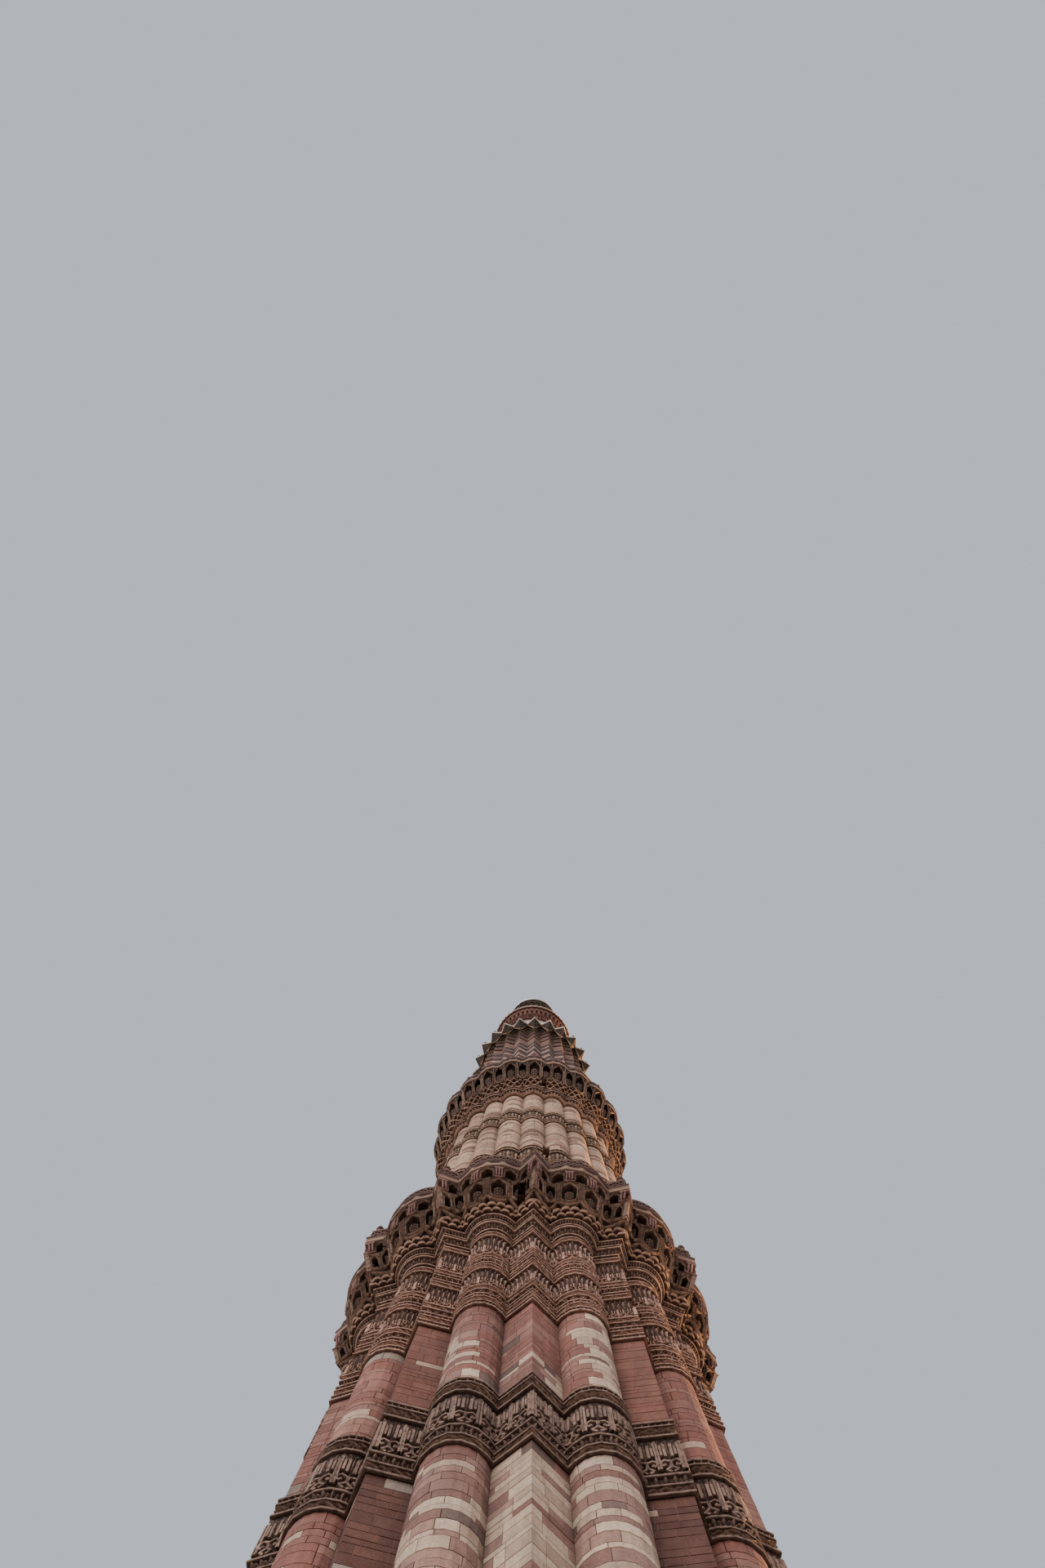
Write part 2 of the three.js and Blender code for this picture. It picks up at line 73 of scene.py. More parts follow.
def lamp(name, azimuth, elevation, strength, colour, softness):
    """A sun lamp; azimuth runs from the front of the tower towards its right."""
    sun = new_object(name, bpy.data.lights.new(name, "SUN"))
    sun.data.energy = strength
    sun.data.color = linear(colour)
    sun.data.angle = math.radians(softness)
    sun.rotation_euler = (math.radians(90 - elevation), 0, math.radians(azimuth))


lamp("low_sun", 117, 13, 11.5, "#ffc588", 3)
lamp("front_fill", -30, 30, 3.4, "#f5efe9", 60)
world = bpy.data.worlds.new("pale_sky")
world.use_nodes = True
sky = world.node_tree.nodes["Background"].inputs
sky["Color"].default_value = (*linear("#dfe6f2"), 1)
sky["Strength"].default_value = 0.8
bpy.context.scene.world = world

floor_mesh = bpy.data.meshes.new("studio_floor")
corners = [(x * FLOOR_HALF, y * FLOOR_HALF, 0) for x, y in ((-1, -1), (1, -1), (1, 1), (-1, 1))]
floor_mesh.from_pydata(corners, [], [(0, 1, 2, 3)])
studio_floor = new_object("studio_floor", floor_mesh)
pale = bpy.data.materials.new("pale_floor")
pale.use_nodes = True
wash = pale.node_tree.nodes["Principled BSDF"].inputs
wash["Base Color"].default_value = (*linear("#b0aeab"), 1)
wash["Roughness"].default_value = 0.9
floor_mesh.materials.append(pale)


# FIRST STOREY WALLS. A rubble core faced with squared blocks of pink-brown and cream sandstone
# in uneven courses, laid in lime mortar. Round flutes and wedge flutes take turns, 24 in all.
SIZE = 0.5  # model metres for one metre of the tower; every size below is the tower's own
FLUTES = 24
PITCH = 2 * math.pi / FLUTES
BACK = FLUTES / 2  # the flute in the middle of the back
TAPER_1 = (7.16, 4.74, 0.6, 26.73)  # radius at the foot and the top, height of both


def on_ring(x, side, out):
    """Points beside (side) and out along each flute's axis, turned to flute x's place."""
    turn = np.round(x) * PITCH
    return np.stack(
        [out * np.sin(turn) + side * np.cos(turn), side * np.sin(turn) - out * np.cos(turn)], -1
    )


def mixed_flutes(x, tip, crown, lobe, half):
    """Outline at flute coordinate x: even flutes are wedges, odd flutes are round."""
    centre = crown - lobe
    cx, cy = centre * math.sin(PITCH), centre * math.cos(PITCH)
    b = cx * math.sin(half) + (tip - cy) * math.cos(half)
    face = b - math.sqrt(b * b - (cx * cx + (tip - cy) ** 2 - lobe * lobe))
    px, py = face * math.sin(half) - cx, tip - face * math.cos(half) - cy
    widest = math.acos((px * math.sin(PITCH) + py * math.cos(PITCH)) / math.hypot(px, py))
    flute = np.round(x)
    d = x - flute
    wedge = flute % 2 == 0
    side = np.where(wedge, 2 * d * face * math.sin(half), lobe * np.sin(2 * d * widest))
    out = np.where(
        wedge, tip - 2 * abs(d) * face * math.cos(half), centre + lobe * np.cos(2 * d * widest)
    )
    return on_ring(x, side, out)


def grid(rows, columns):
    """Faces of a grid whose points come row by row."""
    return [
        (r * columns + i, r * columns + i + 1, (r + 1) * columns + i + 1, (r + 1) * columns + i)
        for r in range(rows - 1)
        for i in range(columns - 1)
    ]


def make_skin(name, levels):
    """The bare surface that stones and carving are laid on: levels are (height, section, sizes).
    It keeps its flat layout as a UV map, and the way out of the wall as the attribute out."""
    apart = (0, 0.02, 0.1, 0.2, 0.3, 0.4, 0.48)
    marks = {round(k + s * d, 6) for k in range(-1, 26) for d in apart for s in (1, -1)}
    marks = sorted(m for m in marks | {k + 0.5 for k in range(-1, 25)} if -1 <= m <= 25)
    x = np.array(marks)
    points, outs = [], []
    for z, section, sizes in levels:
        ring = section(x, **sizes)
        ends = section(np.array([-1.02, 25.02]), **sizes)
        step = np.diff(np.concatenate([ends[:1], ring, ends[1:]]), axis=0)
        step /= np.linalg.norm(step, axis=1, keepdims=True)
        normal = np.stack([step[:, 1], -step[:, 0]], -1)
        before, after = normal[:-1], normal[1:]
        spread = 1 + (before * after).sum(1, keepdims=True)
        points.append(np.column_stack([ring * SIZE, np.full(len(x), z * SIZE)]))
        outs.append(np.column_stack([(before + after) / spread * SIZE, np.zeros(len(x))]))
    mesh = bpy.data.meshes.new(name)
    mesh.from_pydata(np.concatenate(points).tolist(), [], grid(len(levels), len(x)))
    mesh.attributes.new("out", "FLOAT_VECTOR", "POINT").data.foreach_set(
        "vector", np.concatenate(outs).ravel()
    )
    low, high = levels[0][0], levels[-1][0]
    flat = np.array([[(m + 1) / 26, (z - low) / (high - low)] for z, _, _ in levels for m in marks])
    corner = np.zeros(len(mesh.loops), dtype=int)
    mesh.loops.foreach_get("vertex_index", corner)
    mesh.uv_layers.new(name="UVMap").data.foreach_set("uv", flat[corner].ravel())
    return new_object(name, mesh), low, high


def add(tree, kind, inputs=None, **settings):
    """Adds a node: settings are its properties, inputs are numbers, colours or links."""
    made = tree.nodes.new(kind)
    for key, value in settings.items():
        setattr(made, key, value)
    for key, value in (inputs or {}).items():
        if isinstance(value, bpy.types.NodeSocket):
            tree.links.new(value, made.inputs[key])
        else:
            made.inputs[key].default_value = value
    return made


def open_tree(name, **kinds):
    """A Geometry Nodes tree with named inputs, and those inputs' sockets."""
    tree = bpy.data.node_groups.new(name, "GeometryNodeTree")
    for label, kind in kinds.items():
        tree.interface.new_socket(label, in_out="INPUT", socket_type="NodeSocket" + kind)
    tree.interface.new_socket("Geometry", in_out="OUTPUT", socket_type="NodeSocketGeometry")
    return tree, add(tree, "NodeGroupInput").outputs


def close_tree(tree, geometry, stone):
    dressed = add(tree, "GeometryNodeSetMaterial", {"Geometry": geometry, "Material": stone})
    tree.links.new(dressed.outputs[0], add(tree, "NodeGroupOutput").inputs[0])
    return tree


def laying_tree():
    """Geometry Nodes: repeats a flat layout round the shaft and wraps it on a skin."""
    tree, given = open_tree(
        "lay_on_skin", Geometry="Geometry", Skin="Object", Repeats="Int", Pitch="Float",
        Low="Float", High="Float", Stone="Material",
    )
    step = add(tree, "ShaderNodeCombineXYZ", {"X": given["Pitch"]})
    line = {"Count": given["Repeats"], "Offset": step.outputs[0]}
    line = add(tree, "GeometryNodeMeshLine", line, mode="OFFSET")
    copies = {"Points": line.outputs["Mesh"], "Instance": given["Geometry"]}
    copies = add(tree, "GeometryNodeInstanceOnPoints", copies)
    flat = add(tree, "GeometryNodeRealizeInstances", {"Geometry": copies.outputs["Instances"]})
    position = add(tree, "GeometryNodeInputPosition")
    place = add(tree, "ShaderNodeSeparateXYZ", {0: position.outputs[0]})
    u = add(tree, "ShaderNodeMapRange", {"Value": place.outputs["X"], 1: -1.0, 2: 25.0})
    v = {"Value": place.outputs["Y"], 1: given["Low"], 2: given["High"]}
    v = add(tree, "ShaderNodeMapRange", v)
    spot = add(tree, "ShaderNodeCombineXYZ", {"X": u.outputs[0], "Y": v.outputs[0]})
    skin = add(tree, "GeometryNodeObjectInfo", {"Object": given["Skin"]})
    kind = "GeometryNodeInputNamedAttribute"
    layout = add(tree, kind, {"Name": "UVMap"}, data_type="FLOAT_VECTOR")
    out = add(tree, kind, {"Name": "out"}, data_type="FLOAT_VECTOR")
    found = []
    for source in (position.outputs[0], out.outputs["Attribute"]):
        sample = {"Mesh": skin.outputs["Geometry"], "UV Map": layout.outputs[0]}
        sample["Sample UV"] = spot.outputs[0]
        sample = add(tree, "GeometryNodeSampleUVSurface", sample, data_type="FLOAT_VECTOR")
        tree.links.new(source, sample.inputs["Value"])
        found.append(sample.outputs["Value"])
    proud = add(tree, "ShaderNodeVectorMath", {0: found[1]}, operation="SCALE")
    tree.links.new(place.outputs["Z"], proud.inputs["Scale"])
    laid = {"Geometry": flat.outputs[0], "Position": found[0], "Offset": proud.outputs[0]}
    laid = add(tree, "GeometryNodeSetPosition", laid)
    return close_tree(tree, laid.outputs[0], given["Stone"])


LAYING = laying_tree()


def run_tree(tree, mesh, **values):
    """Runs a tree over a mesh and returns an object with the result as its plain mesh."""
    piece = new_object(mesh.name, mesh)
    modifier = piece.modifiers.new(tree.name, "NODES")
    modifier.node_group = tree
    for item in tree.interface.items_tree:
        if item.in_out == "INPUT" and item.name in values:
            modifier[item.identifier] = values[item.name]
    graph = bpy.context.evaluated_depsgraph_get()
    graph.update()
    piece.data = bpy.data.meshes.new_from_object(piece.evaluated_get(graph))
    piece.modifiers.clear()
    bpy.data.meshes.remove(mesh)
    piece.data.name = piece.name
    return piece


def coloured_mesh(name, points, faces, colours):
    mesh = bpy.data.meshes.new(name)
    mesh.from_pydata(points, [], faces)
    colour = mesh.color_attributes.new("stone_colour", "FLOAT_COLOR", "POINT")
    colour.data.foreach_set("color", np.array(colours).ravel())
    return mesh


def hand_over(piece, replaced=()):
    """Hands a piece to the frame and the CAD nodes it takes the place of."""
    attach(piece, "root")
    if replaced:
        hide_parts(*replaced)
    return piece


class Flat:
    """A facing laid out flat: x in flutes, y in metres up the tower, z in metres out of the wall.
    Each point carries a shade, from the dark ground (0) to the highlight (1). In the carving and
    mouldings it is painted shade in recesses, soffits and undersides and a painted highlight on
    proud edges and tops, along with the stone's real dirt and wear."""

    valley_darkening = 1.3  # how much the stones darken into the valleys between flutes

    def __init__(self, dark="#000000", light="#ffffff", span=None):
        self.points, self.faces, self.colours = [], [], []
        self.tone = (linear(dark), linear(light))
        self.span = span  # where mouldings start and end, and their number of steps

    def add(self, points, faces, shades, tone=None):
        first = len(self.points)
        dark, light = tone or self.tone
        self.points.extend(points)
        self.faces.extend([first + i for i in face] for face in faces)
        self.colours.extend((*(dark + (light - dark) * s), 1) for s in shades)


def lay(name, flat, skin, stone, replaced=(), every=0):
    """Wraps a flat layout on a skin as one plain mesh, repeated every so many flutes."""
    skin_object, low, high = skin
    mesh = coloured_mesh(name, flat.points, flat.faces, flat.colours)
    piece = run_tree(
        LAYING, mesh, Skin=skin_object, Repeats=FLUTES // every if every else 1,
        Pitch=float(every), Low=low, High=high, Stone=stone,
    )
    return hand_over(piece, replaced)


def stone_material(
    name, roughness, stain, streak, grain, pits, painted=None, gloss=0.2, pockets=0.0, relief=0.004
):
    """Weathered stone. The colour comes from the attribute stone_colour, or from two painted
    colours; stains, rain streaks, grain and dark pockets vary it. Sizes are model metres."""
    material = bpy.data.materials.new(name)
    material.use_nodes = True
    tree = material.node_tree
    shader = tree.nodes["Principled BSDF"]
    shader.inputs["Specular IOR Level"].default_value = gloss
    coords = add(tree, "ShaderNodeTexCoord").outputs["Object"]

    def noise(scale, detail, low, high, vector=coords):
        inputs = {"Vector": vector, "Scale": scale, "Detail": detail, "Roughness": 0.6}
        value = add(tree, "ShaderNodeTexNoise", inputs).outputs["Fac"]
        stretched = {"Value": value, 1: 0.32, 2: 0.68, 3: low, 4: high}
        return add(tree, "ShaderNodeMapRange", stretched).outputs[0]

    tall = add(tree, "ShaderNodeMapping", {"Vector": coords, "Scale": (7, 7, 0.5)}).outputs[0]
    hollows = add(tree, "ShaderNodeTexVoronoi", {"Vector": coords, "Scale": 1 / pits})
    hollows = hollows.outputs["Distance"]
    layers = [
        noise(0.9, 4, 1 - stain, 1 + stain * 0.6),
        noise(14, 5, 1 - stain * 0.55, 1 + stain * 0.5),
        noise(1, 3, 1 + streak * 0.25, 1 - streak, tall),
        noise(0.3 / grain, 4, 0.85, 1.14),
    ]
    if pockets:
        near = {"Value": hollows, 1: 0.15, 2: 0.55, 3: 1 - pockets, 4: 1 + pockets * 0.7}
        layers.append(add(tree, "ShaderNodeMapRange", near).outputs[0])
    total = layers[0]
    for layer in layers[1:]:
        total = add(tree, "ShaderNodeMath", {0: total, 1: layer}, operation="MULTIPLY").outputs[0]
    if painted:
        mixed = add(tree, "ShaderNodeMix", {0: noise(3, 4, 0, 1)}, data_type="RGBA")
        for socket, colour in zip((6, 7), painted):
            mixed.inputs[socket].default_value = (*linear(colour), 1)
        base = mixed.outputs[2]
    else:
        base = add(tree, "ShaderNodeAttribute", attribute_name="stone_colour").outputs["Color"]
    scaled = add(tree, "ShaderNodeVectorMath", {0: base}, operation="SCALE")
    tree.links.new(total, scaled.inputs["Scale"])
    tree.links.new(scaled.outputs[0], shader.inputs["Base Color"])
    rough = noise(9, 3, roughness - 0.08, roughness + 0.06)
    tree.links.new(rough, shader.inputs["Roughness"])
    fine = add(tree, "ShaderNodeTexNoise", {"Vector": coords, "Scale": 1 / grain, "Detail": 4})
    height = add(tree, "ShaderNodeMath", {0: fine.outputs["Fac"], 1: hollows}, operation="ADD")
    bump = {"Height": height.outputs[0], "Strength": 0.55, "Distance": relief}
    tree.links.new(add(tree, "ShaderNodeBump", bump).outputs[0], shader.inputs["Normal"])
    return material


# Quarry-faced sandstone, hand dressed: matt, softly mottled, with rain streaks and small pits.
dressed_sandstone = stone_material("dressed_sandstone", 0.88, 0.22, 0.22, 0.006, 0.02, gloss=0.45)
# Lime mortar, trowelled: pale brown-grey and gritty. It shows as thin joint lines.
lime_mortar = stone_material(
    "lime_mortar", 0.93, 0.25, 0.2, 0.005, 0.012, painted=("#765c51", "#8a6c60")
)


def dress(stone, *names):
    """Gives CAD nodes that stay in view their finish."""
    for name in names:
        nodes[name].data.materials.clear()
        nodes[name].data.materials.append(stone)


QUARTERS = ["front", "right", "back", "left"]
dress(lime_mortar, *("storey_1_wall_" + side for side in QUARTERS))
dress(lime_mortar, *("storey_1_foot_" + side for side in ("front", "right", "left")))
dress(lime_mortar, "entrance_jamb_right", "entrance_jamb_left")

PINK = ["#865b51", "#8c6056", "#80544a", "#90685c", "#7b5147", "#896258", "#85564b"]
CREAM = ["#b39a87", "#bea893", "#ab9280", "#a88f7d", "#b7a08d"]
PALE_PINK = ["#8c6a60", "#846157", "#7d5b53", "#967468", "#7b564d", "#886860"]
DARK = ["#604c45", "#6c5850"]
GREY = ["#85776a", "#8d7e72", "#7b6a60"]
RED = ["#774b40", "#7b4f43", "#784e43", "#72473c"]
DULL_RED = ["#56352c", "#5b3930", "#53322a", "#5d3b31"]
# Colours and share of the first two kinds of stone, colours of the third, spread of brightness.
MIXES = {
    "cream": (CREAM, 0.6, PALE_PINK, 0.34, DARK, 0.07),
    "half": (CREAM, 0.34, PALE_PINK, 0.6, DARK, 0.08),
    "few": (CREAM, 0.09, PINK, 0.88, DARK, 0.06),
    "red": (CREAM, 0.02, RED, 0.97, GREY, 0.03),
    "dull red": (CREAM, 0.03, DULL_RED, 0.95, GREY, 0.03),
    "rare": (CREAM, 0.04, PINK, 0.95, GREY, 0.04),
    "grey": (CREAM, 0.16, GREY, 0.1, PINK, 0.08),
}


def pick(rng, mix):
    first, share, second, other, third, spread = MIXES[mix]
    draw = rng.random()
    colours = first if draw < share else second if draw < share + other else third
    return linear(rng.choice(colours)) * rng.uniform(1 - spread, 1 + spread)


def mix_on_storey_1(x, y):
    """Which colours a stone has, by flute and height; the front repeats round the back."""
    k = round((x + BACK) % FLUTES - BACK)
    near = abs(k)
    if 19 < y < 22.5:
        if k == 1:
            return "few" if x % FLUTES < 0.85 else "cream"
        if k == 0:
            return "half" if y < 20.2 else "few"
        if k == -1:
            return "half" if (x + 1) % FLUTES > BACK and y < 21.5 else "few"
        if k == -3 and y > 21.2:
            return "grey"
        return "few" if near == 7 else "red" if near % 4 == 2 else "rare"
    if near <= 1:
        return "half" if k == -1 else "cream"
    return "dull red" if near % 4 == 2 else "half" if near in (5, 9, 12) else "few"


def put_stone(flat, x0, x1, y0, y1, half_length, tone, proud, steps, joint=0.002, bevel=0.005):
    """One squared block with chamfered arrises; its skirt reaches back into the wall. It
    follows a curved wall with this many steps to a flute."""
    slope = 0.5 / half_length
    a, b = x0 + joint * slope, x1 - joint * slope
    edge = min(bevel * slope, (b - a) / 4)
    inner = [m / steps for m in range(math.ceil(a * steps), math.floor(b * steps) + 1)]
    inner = [m for m in inner if a + 2 * edge < m < b - 2 * edge]
    outer_x, inner_x = [a, *inner, b], [a + edge, *inner, b - edge]
    n = len(outer_x)
    rows = [
        (outer_x, y0 + joint, -0.05),
        (inner_x, y0 + joint + bevel, proud),
        (inner_x, y1 - joint - bevel, proud),
        (outer_x, y1 - joint, -0.05),
    ]
    points = [(x, y, z) for xs, y, z in rows for x in xs]
    ends = [(0, n, 2 * n, 3 * n), (n - 1, 4 * n - 1, 3 * n - 1, 2 * n - 1)]
    # Stones are coloured darker towards the valleys between flutes.
    varied_tone = [1 - flat.valley_darkening * max(0.0, 2 * abs(x - round(x)) - 0.7) / 0.3 for x in inner_x]
    shades = [0.0] * n + varied_tone * 2 + [0.0] * n
    flat.add(points, grid(4, n) + ends, shades, tone=(tone * 0.75, tone))


def courses(rng, low, high, least, most):
    """Uneven course heights that fill a stretch of wall, some of them thin."""
    heights = []
    while sum(heights) < high - low:
        heights.append(rng.uniform(least, most) * (0.55 if rng.random() < 0.4 else 1))
    scale = (high - low) / sum(heights)
    y = low
    for height in heights:
        yield y, y + height * scale
        y += height * scale


def beside_holes(x0, x1, y0, y1, holes):
    """What is left of a stone where doorways and windows cut it."""
    spans = [(x0, x1)]
    for left, right, foot, head in holes:
        if y1 > foot + 0.02 and y0 < head - 0.02:
            cut = [s for a, b in spans for s in ((a, min(b, left)), (max(a, right), b))]
            spans = [s for s in cut if s[1] - s[0] > 0.03]
    return spans


def face_wall(
    flat, rng, low, high, breaks, half_length, choose, steps, holes=(), course=(0.15, 0.3)
):
    """Lays stones on a stretch of wall. breaks(rng, flute) gives the joints of one flute, and
    steps how finely an even and an odd flute's stones follow the curve."""
    for y0, y1 in courses(rng, low, high, *course):
        for flute in range(FLUTES):
            joints = breaks(rng, flute)
            tone, last = None, None
            for x0, x1 in zip(joints, joints[1:]):
                mix = choose((x0 + x1) / 2, (y0 + y1) / 2)
                if mix == last and rng.random() < 0.3:
                    tone = tone * rng.uniform(0.96, 1.04)
                else:
                    tone = pick(rng, mix)
                last = mix
                proud = rng.uniform(0.009, 0.015)
                for a, b in beside_holes(x0, x1, y0, y1, holes):
                    half = half_length(flute, y0)
                    put_stone(flat, a, b, y0, y1, half, tone, proud, steps[flute % 2])


def mixed_breaks(rng, flute):
    if flute % 2 == 0:
        left, right = rng.choice([(0.12, 0.3), (0.3, 0.12), (0.2, 0.2), (0.26, 0.16)])
        extra = [flute + side * rng.uniform(0.38, 0.43) for side in (-1, 1) if rng.random() < 0.5]
        return sorted([flute - 0.5, flute - left, flute + right, flute + 0.5, *extra])
    count = rng.choice([2, 3, 4, 5])
    shift = rng.uniform(0.25, 0.75)
    inner = [flute - 0.5 + (i + shift) / count for i in range(count)]
    return [flute - 0.5, *inner, flute + 0.5]


def taper(z, foot, top, low, high):
    return foot + (top - foot) * (z - low) / (high - low)


def storey_1(z):
    r = taper(z, *TAPER_1)
    return (z, mixed_flutes, {"tip": r, "crown": r, "lobe": 0.1187 * r, "half": math.radians(50)})


def half_flute_1(flute, z):
    return (0.168 if flute % 2 else 0.156) * taper(z, *TAPER_1)


def crossing(section, sizes, at, start, end):
    """Flute coordinate where the wall crosses a sideways distance from the tower's middle."""

    def across(x):
        return section(np.array([x]), **sizes)[0][0]

    rising = across(end) > across(start)
    for _ in range(40):
        middle = (start + end) / 2
        if (across(middle) < at) == rising:
            start = middle
        else:
            end = middle
    return start


skin_1 = make_skin("skin_storey_1", [storey_1(z) for z in np.linspace(0.3, 26.95, 30)])
door_left = crossing(mixed_flutes, storey_1(2.0)[2], 0.97, BACK - 1, BACK)
DOOR = (door_left, FLUTES - door_left, 0.6, 3.6)
PLAIN_1 = [(0.6, 1.5), (3.2, 6.2), (8.2, 11.5), (13.5, 17.2), (19.24, 22.36)]
for number, (low, high) in enumerate(PLAIN_1, 1):
    rng = random.Random(100 + number)
    facing = Flat()
    face_wall(
        facing, rng, low, high, mixed_breaks, half_flute_1, mix_on_storey_1, (4, 10), [DOOR]
    )
    lay(f"storey_1_facing_{number}", facing, skin_1, dressed_sandstone)


# PLINTH. A low 24-sided step under the tower: a rubble bed with kerbs of sawn sandstone, set in
# two courses that break joint, and a top paved in rings.
# Sandstone paving and kerbs, sawn then worn by feet: smoother, with a soft sheen on the edges.
worn_paving = stone_material(
    "worn_paving", 0.78, 0.2, 0.05, 0.008, 0.03, painted=("#8d7464", "#75594c")
)
dress(worn_paving, "plinth")


def plain_drum(x, radius):
    return np.stack([radius * np.sin(x * PITCH), -radius * np.cos(x * PITCH)], -1)


rng = random.Random(11)
kerb = Flat()
for y0, y1, shift in ((0.02, 0.3, -0.25), (0.3, 0.58, -0.125)):
    for step in range(2 * FLUTES):
        tone = pick(rng, "red")
        x0 = step / 2 + shift
        put_stone(kerb, x0, x0 + 0.5, y0, y1, 1.0, tone, 0.02, 4, joint=0.008, bevel=0.02)
skin_plinth = make_skin("skin_plinth", [(z, plain_drum, {"radius": 7.53}) for z in (-0.2, 0.8)])
lay("plinth_kerb", kerb, skin_plinth, dressed_sandstone)
bpy.data.objects.remove(skin_plinth[0])


# CARVED BANDS OF THE FIRST STOREY. Slabs of dark, weathered sandstone that clasp the flutes, cut
# by chisel: fillets and rows of studs frame deep arabesque of vines, lancet leaves and rosettes.
class Board:
    """A drawing board on a flat layout, upright at flute coordinate x. Sideways sizes are metres:
    plus is half a flute's width to the right of x, minus to the left; side=-1 mirrors it.
    lean gives how far out the board stands at a height; bridge fills a fold between two flutes."""

    def __init__(self, flat, x, plus, minus=None, side=1, lean=None, bridge=None):
        self.flat, self.x, self.side = flat, x, side
        self.plus, self.minus, self.lean, self.bridge = plus, minus or plus, lean, bridge

    def add(self, points, faces, shades, tone=None):
        placed = []
        for s, y, z in points:
            reach = self.plus if s >= 0 else self.minus
            rise = self.lean(y) if self.lean else 0
            if self.bridge:
                fold, span = self.bridge
                rise += fold * max(0.0, 1 - abs(s) / span)
            placed.append((self.x + self.side * 0.5 * s / reach, y, z + rise))
        if self.side < 0:
            faces = [face[::-1] for face in faces]
        self.flat.add(placed, faces, shades, tone)


def sideways(start, end, width):
    """Half a width at right angles to a line."""
    ds, dy = end[0] - start[0], end[1] - start[1]
    length = math.hypot(ds, dy) or 1
    return dy / length * width / 2, -ds / length * width / 2


def leaf(board, start, end, width, low, high, fat=0.45, tone=None):
    """A pointed leaf with a sharp rib."""
    (s0, y0), (s1, y1) = start, end
    rs, ry = sideways(start, end, width)
    ms, my = s0 + (s1 - s0) * fat, y0 + (y1 - y0) * fat
    points = [(s0, y0, low), (ms + rs, my + ry, low), (s1, y1, low), (ms - rs, my - ry, low)]
    points.append((ms, my, high))
    # The rib carries a painted highlight and the leaf's edges painted shade.
    board.add(points, [(0, 1, 4), (1, 2, 4), (2, 3, 4), (3, 0, 4)], [0.3] * 4 + [1], tone)


def sweep(path, width, section):
    """Carries a section along a path; it lists (share of half the width, height)."""
    points, faces = [], []
    n = len(section)
    for i, (s, y) in enumerate(path):
        rs, ry = sideways(path[max(i - 1, 0)], path[min(i + 1, len(path) - 1)], width)
        points += [(s + share * rs, y + share * ry, z) for share, z in section]
        if i:
            a, b = n * i - n, n * i
            faces += [(a + j, a + j + 1, b + j + 1, b + j) for j in range(n - 1)]
    return points, faces


def strap(board, path, width, low, high, shade=1.0, tone=None):
    """A carved cord or rib of triangular section along a path."""
    points, faces = sweep(path, width, [(-1, low), (0, high), (1, low)])
    # The ridge carries a painted highlight and the foot of each side painted shade.
    board.add(points, faces, [0.3 * shade, shade, 0.3 * shade] * len(path), tone)


def ribbon(board, path, width, low, high, tone=None):
    """A flat-topped band of carving, cut steeply down to the ground on both sides."""
    points, faces = sweep(path, width, [(-1, low), (-0.7, high), (0.7, high), (1, low)])
    last = 4 * len(path) - 4
    faces += [(3, 2, 1, 0), (last, last + 1, last + 2, last + 3)]
    # The flat top carries a painted highlight and the foot of each side painted shade.
    board.add(points, faces, [0.1, 1, 1, 0.1] * len(path), tone)


def stud(board, s, y, across, up, low, high, sides=4, shade=1.0):
    """A pyramid, or with more sides a round boss."""
    # The tip carries a painted highlight and the foot painted shade.
    angles = [2 * math.pi * i / sides for i in range(sides)]
    points = [(s + across * math.cos(a), y + up * math.sin(a), low) for a in angles]
    ring = [(i, (i + 1) % sides) for i in range(sides)]
    if sides < 6:
        points.append((s, y, high))
        board.add(points, [(i, j, sides) for i, j in ring], [0.3 * shade] * sides + [shade])
        return
    middle = low + (high - low) * 0.75
    points += [(s + 0.68 * (p[0] - s), y + 0.68 * (p[1] - y), middle) for p in points]
    points.append((s, y, high))
    faces = [(i, j, sides + j, sides + i) for i, j in ring]
    faces += [(sides + i, sides + j, 2 * sides) for i, j in ring]
    board.add(points, faces, [0.25 * shade] * sides + [0.85 * shade] * sides + [shade])


def moulding(flat, profile, lean=None, tone=None):
    """A moulding right along the layout. The profile lists (height, out, shade) from its foot."""
    x0, x1, steps = flat.span
    marks = [x0 + (x1 - x0) * i / steps for i in range(steps + 1)]
    points = [(x, y, z + (lean(y) if lean else 0)) for y, z, _ in profile for x in marks]
    shades = [shade for _, _, shade in profile for _ in marks]
    flat.add(points, grid(len(profile), len(marks)), shades, tone)


def spots(length, pitch):
    """Even places along a length, and the step between them."""
    count = max(1, round(length / pitch))
    step = length / count
    return [(i + 0.5) * step for i in range(count)], step


def along(boards, pitch):
    """Every place along every board, with its number and the step."""
    for board, length in boards:
        places, step = spots(length, pitch)
        for i, s in enumerate(places):
            yield board, i, s, step


def fillet(flat, boards, y0, y1, z):
    # Painted shade under the fillet and a painted highlight on its top.
    moulding(flat, [(y0, 0, 0.05), (y0, z, 0.5), (y1, z, 0.95), (y1, 0, 0.2)])


def row_of_studs(flat, boards, y0, y1, z):
    for board, _, s, step in along(boards, (y1 - y0) * 0.9):
        stud(board, s, (y0 + y1) / 2, step * 0.48, (y1 - y0) * 0.46, 0.02, z)


def row_of_beads(flat, boards, y0, y1, z):
    for board, _, s, step in along(boards, (y1 - y0) * 0.95):
        stud(board, s, (y0 + y1) / 2, step * 0.42, (y1 - y0) * 0.42, 0.02, z, sides=6)


def row_of_teeth(flat, boards, y0, y1, z):
    for board, i, s, step in along(boards, (y1 - y0) * 0.72):
        ends = ((s, y0), (s, y1)) if i % 2 else ((s, y1), (s, y0))
        leaf(board, *ends, step * 1.3, 0.015, z, fat=0.22)


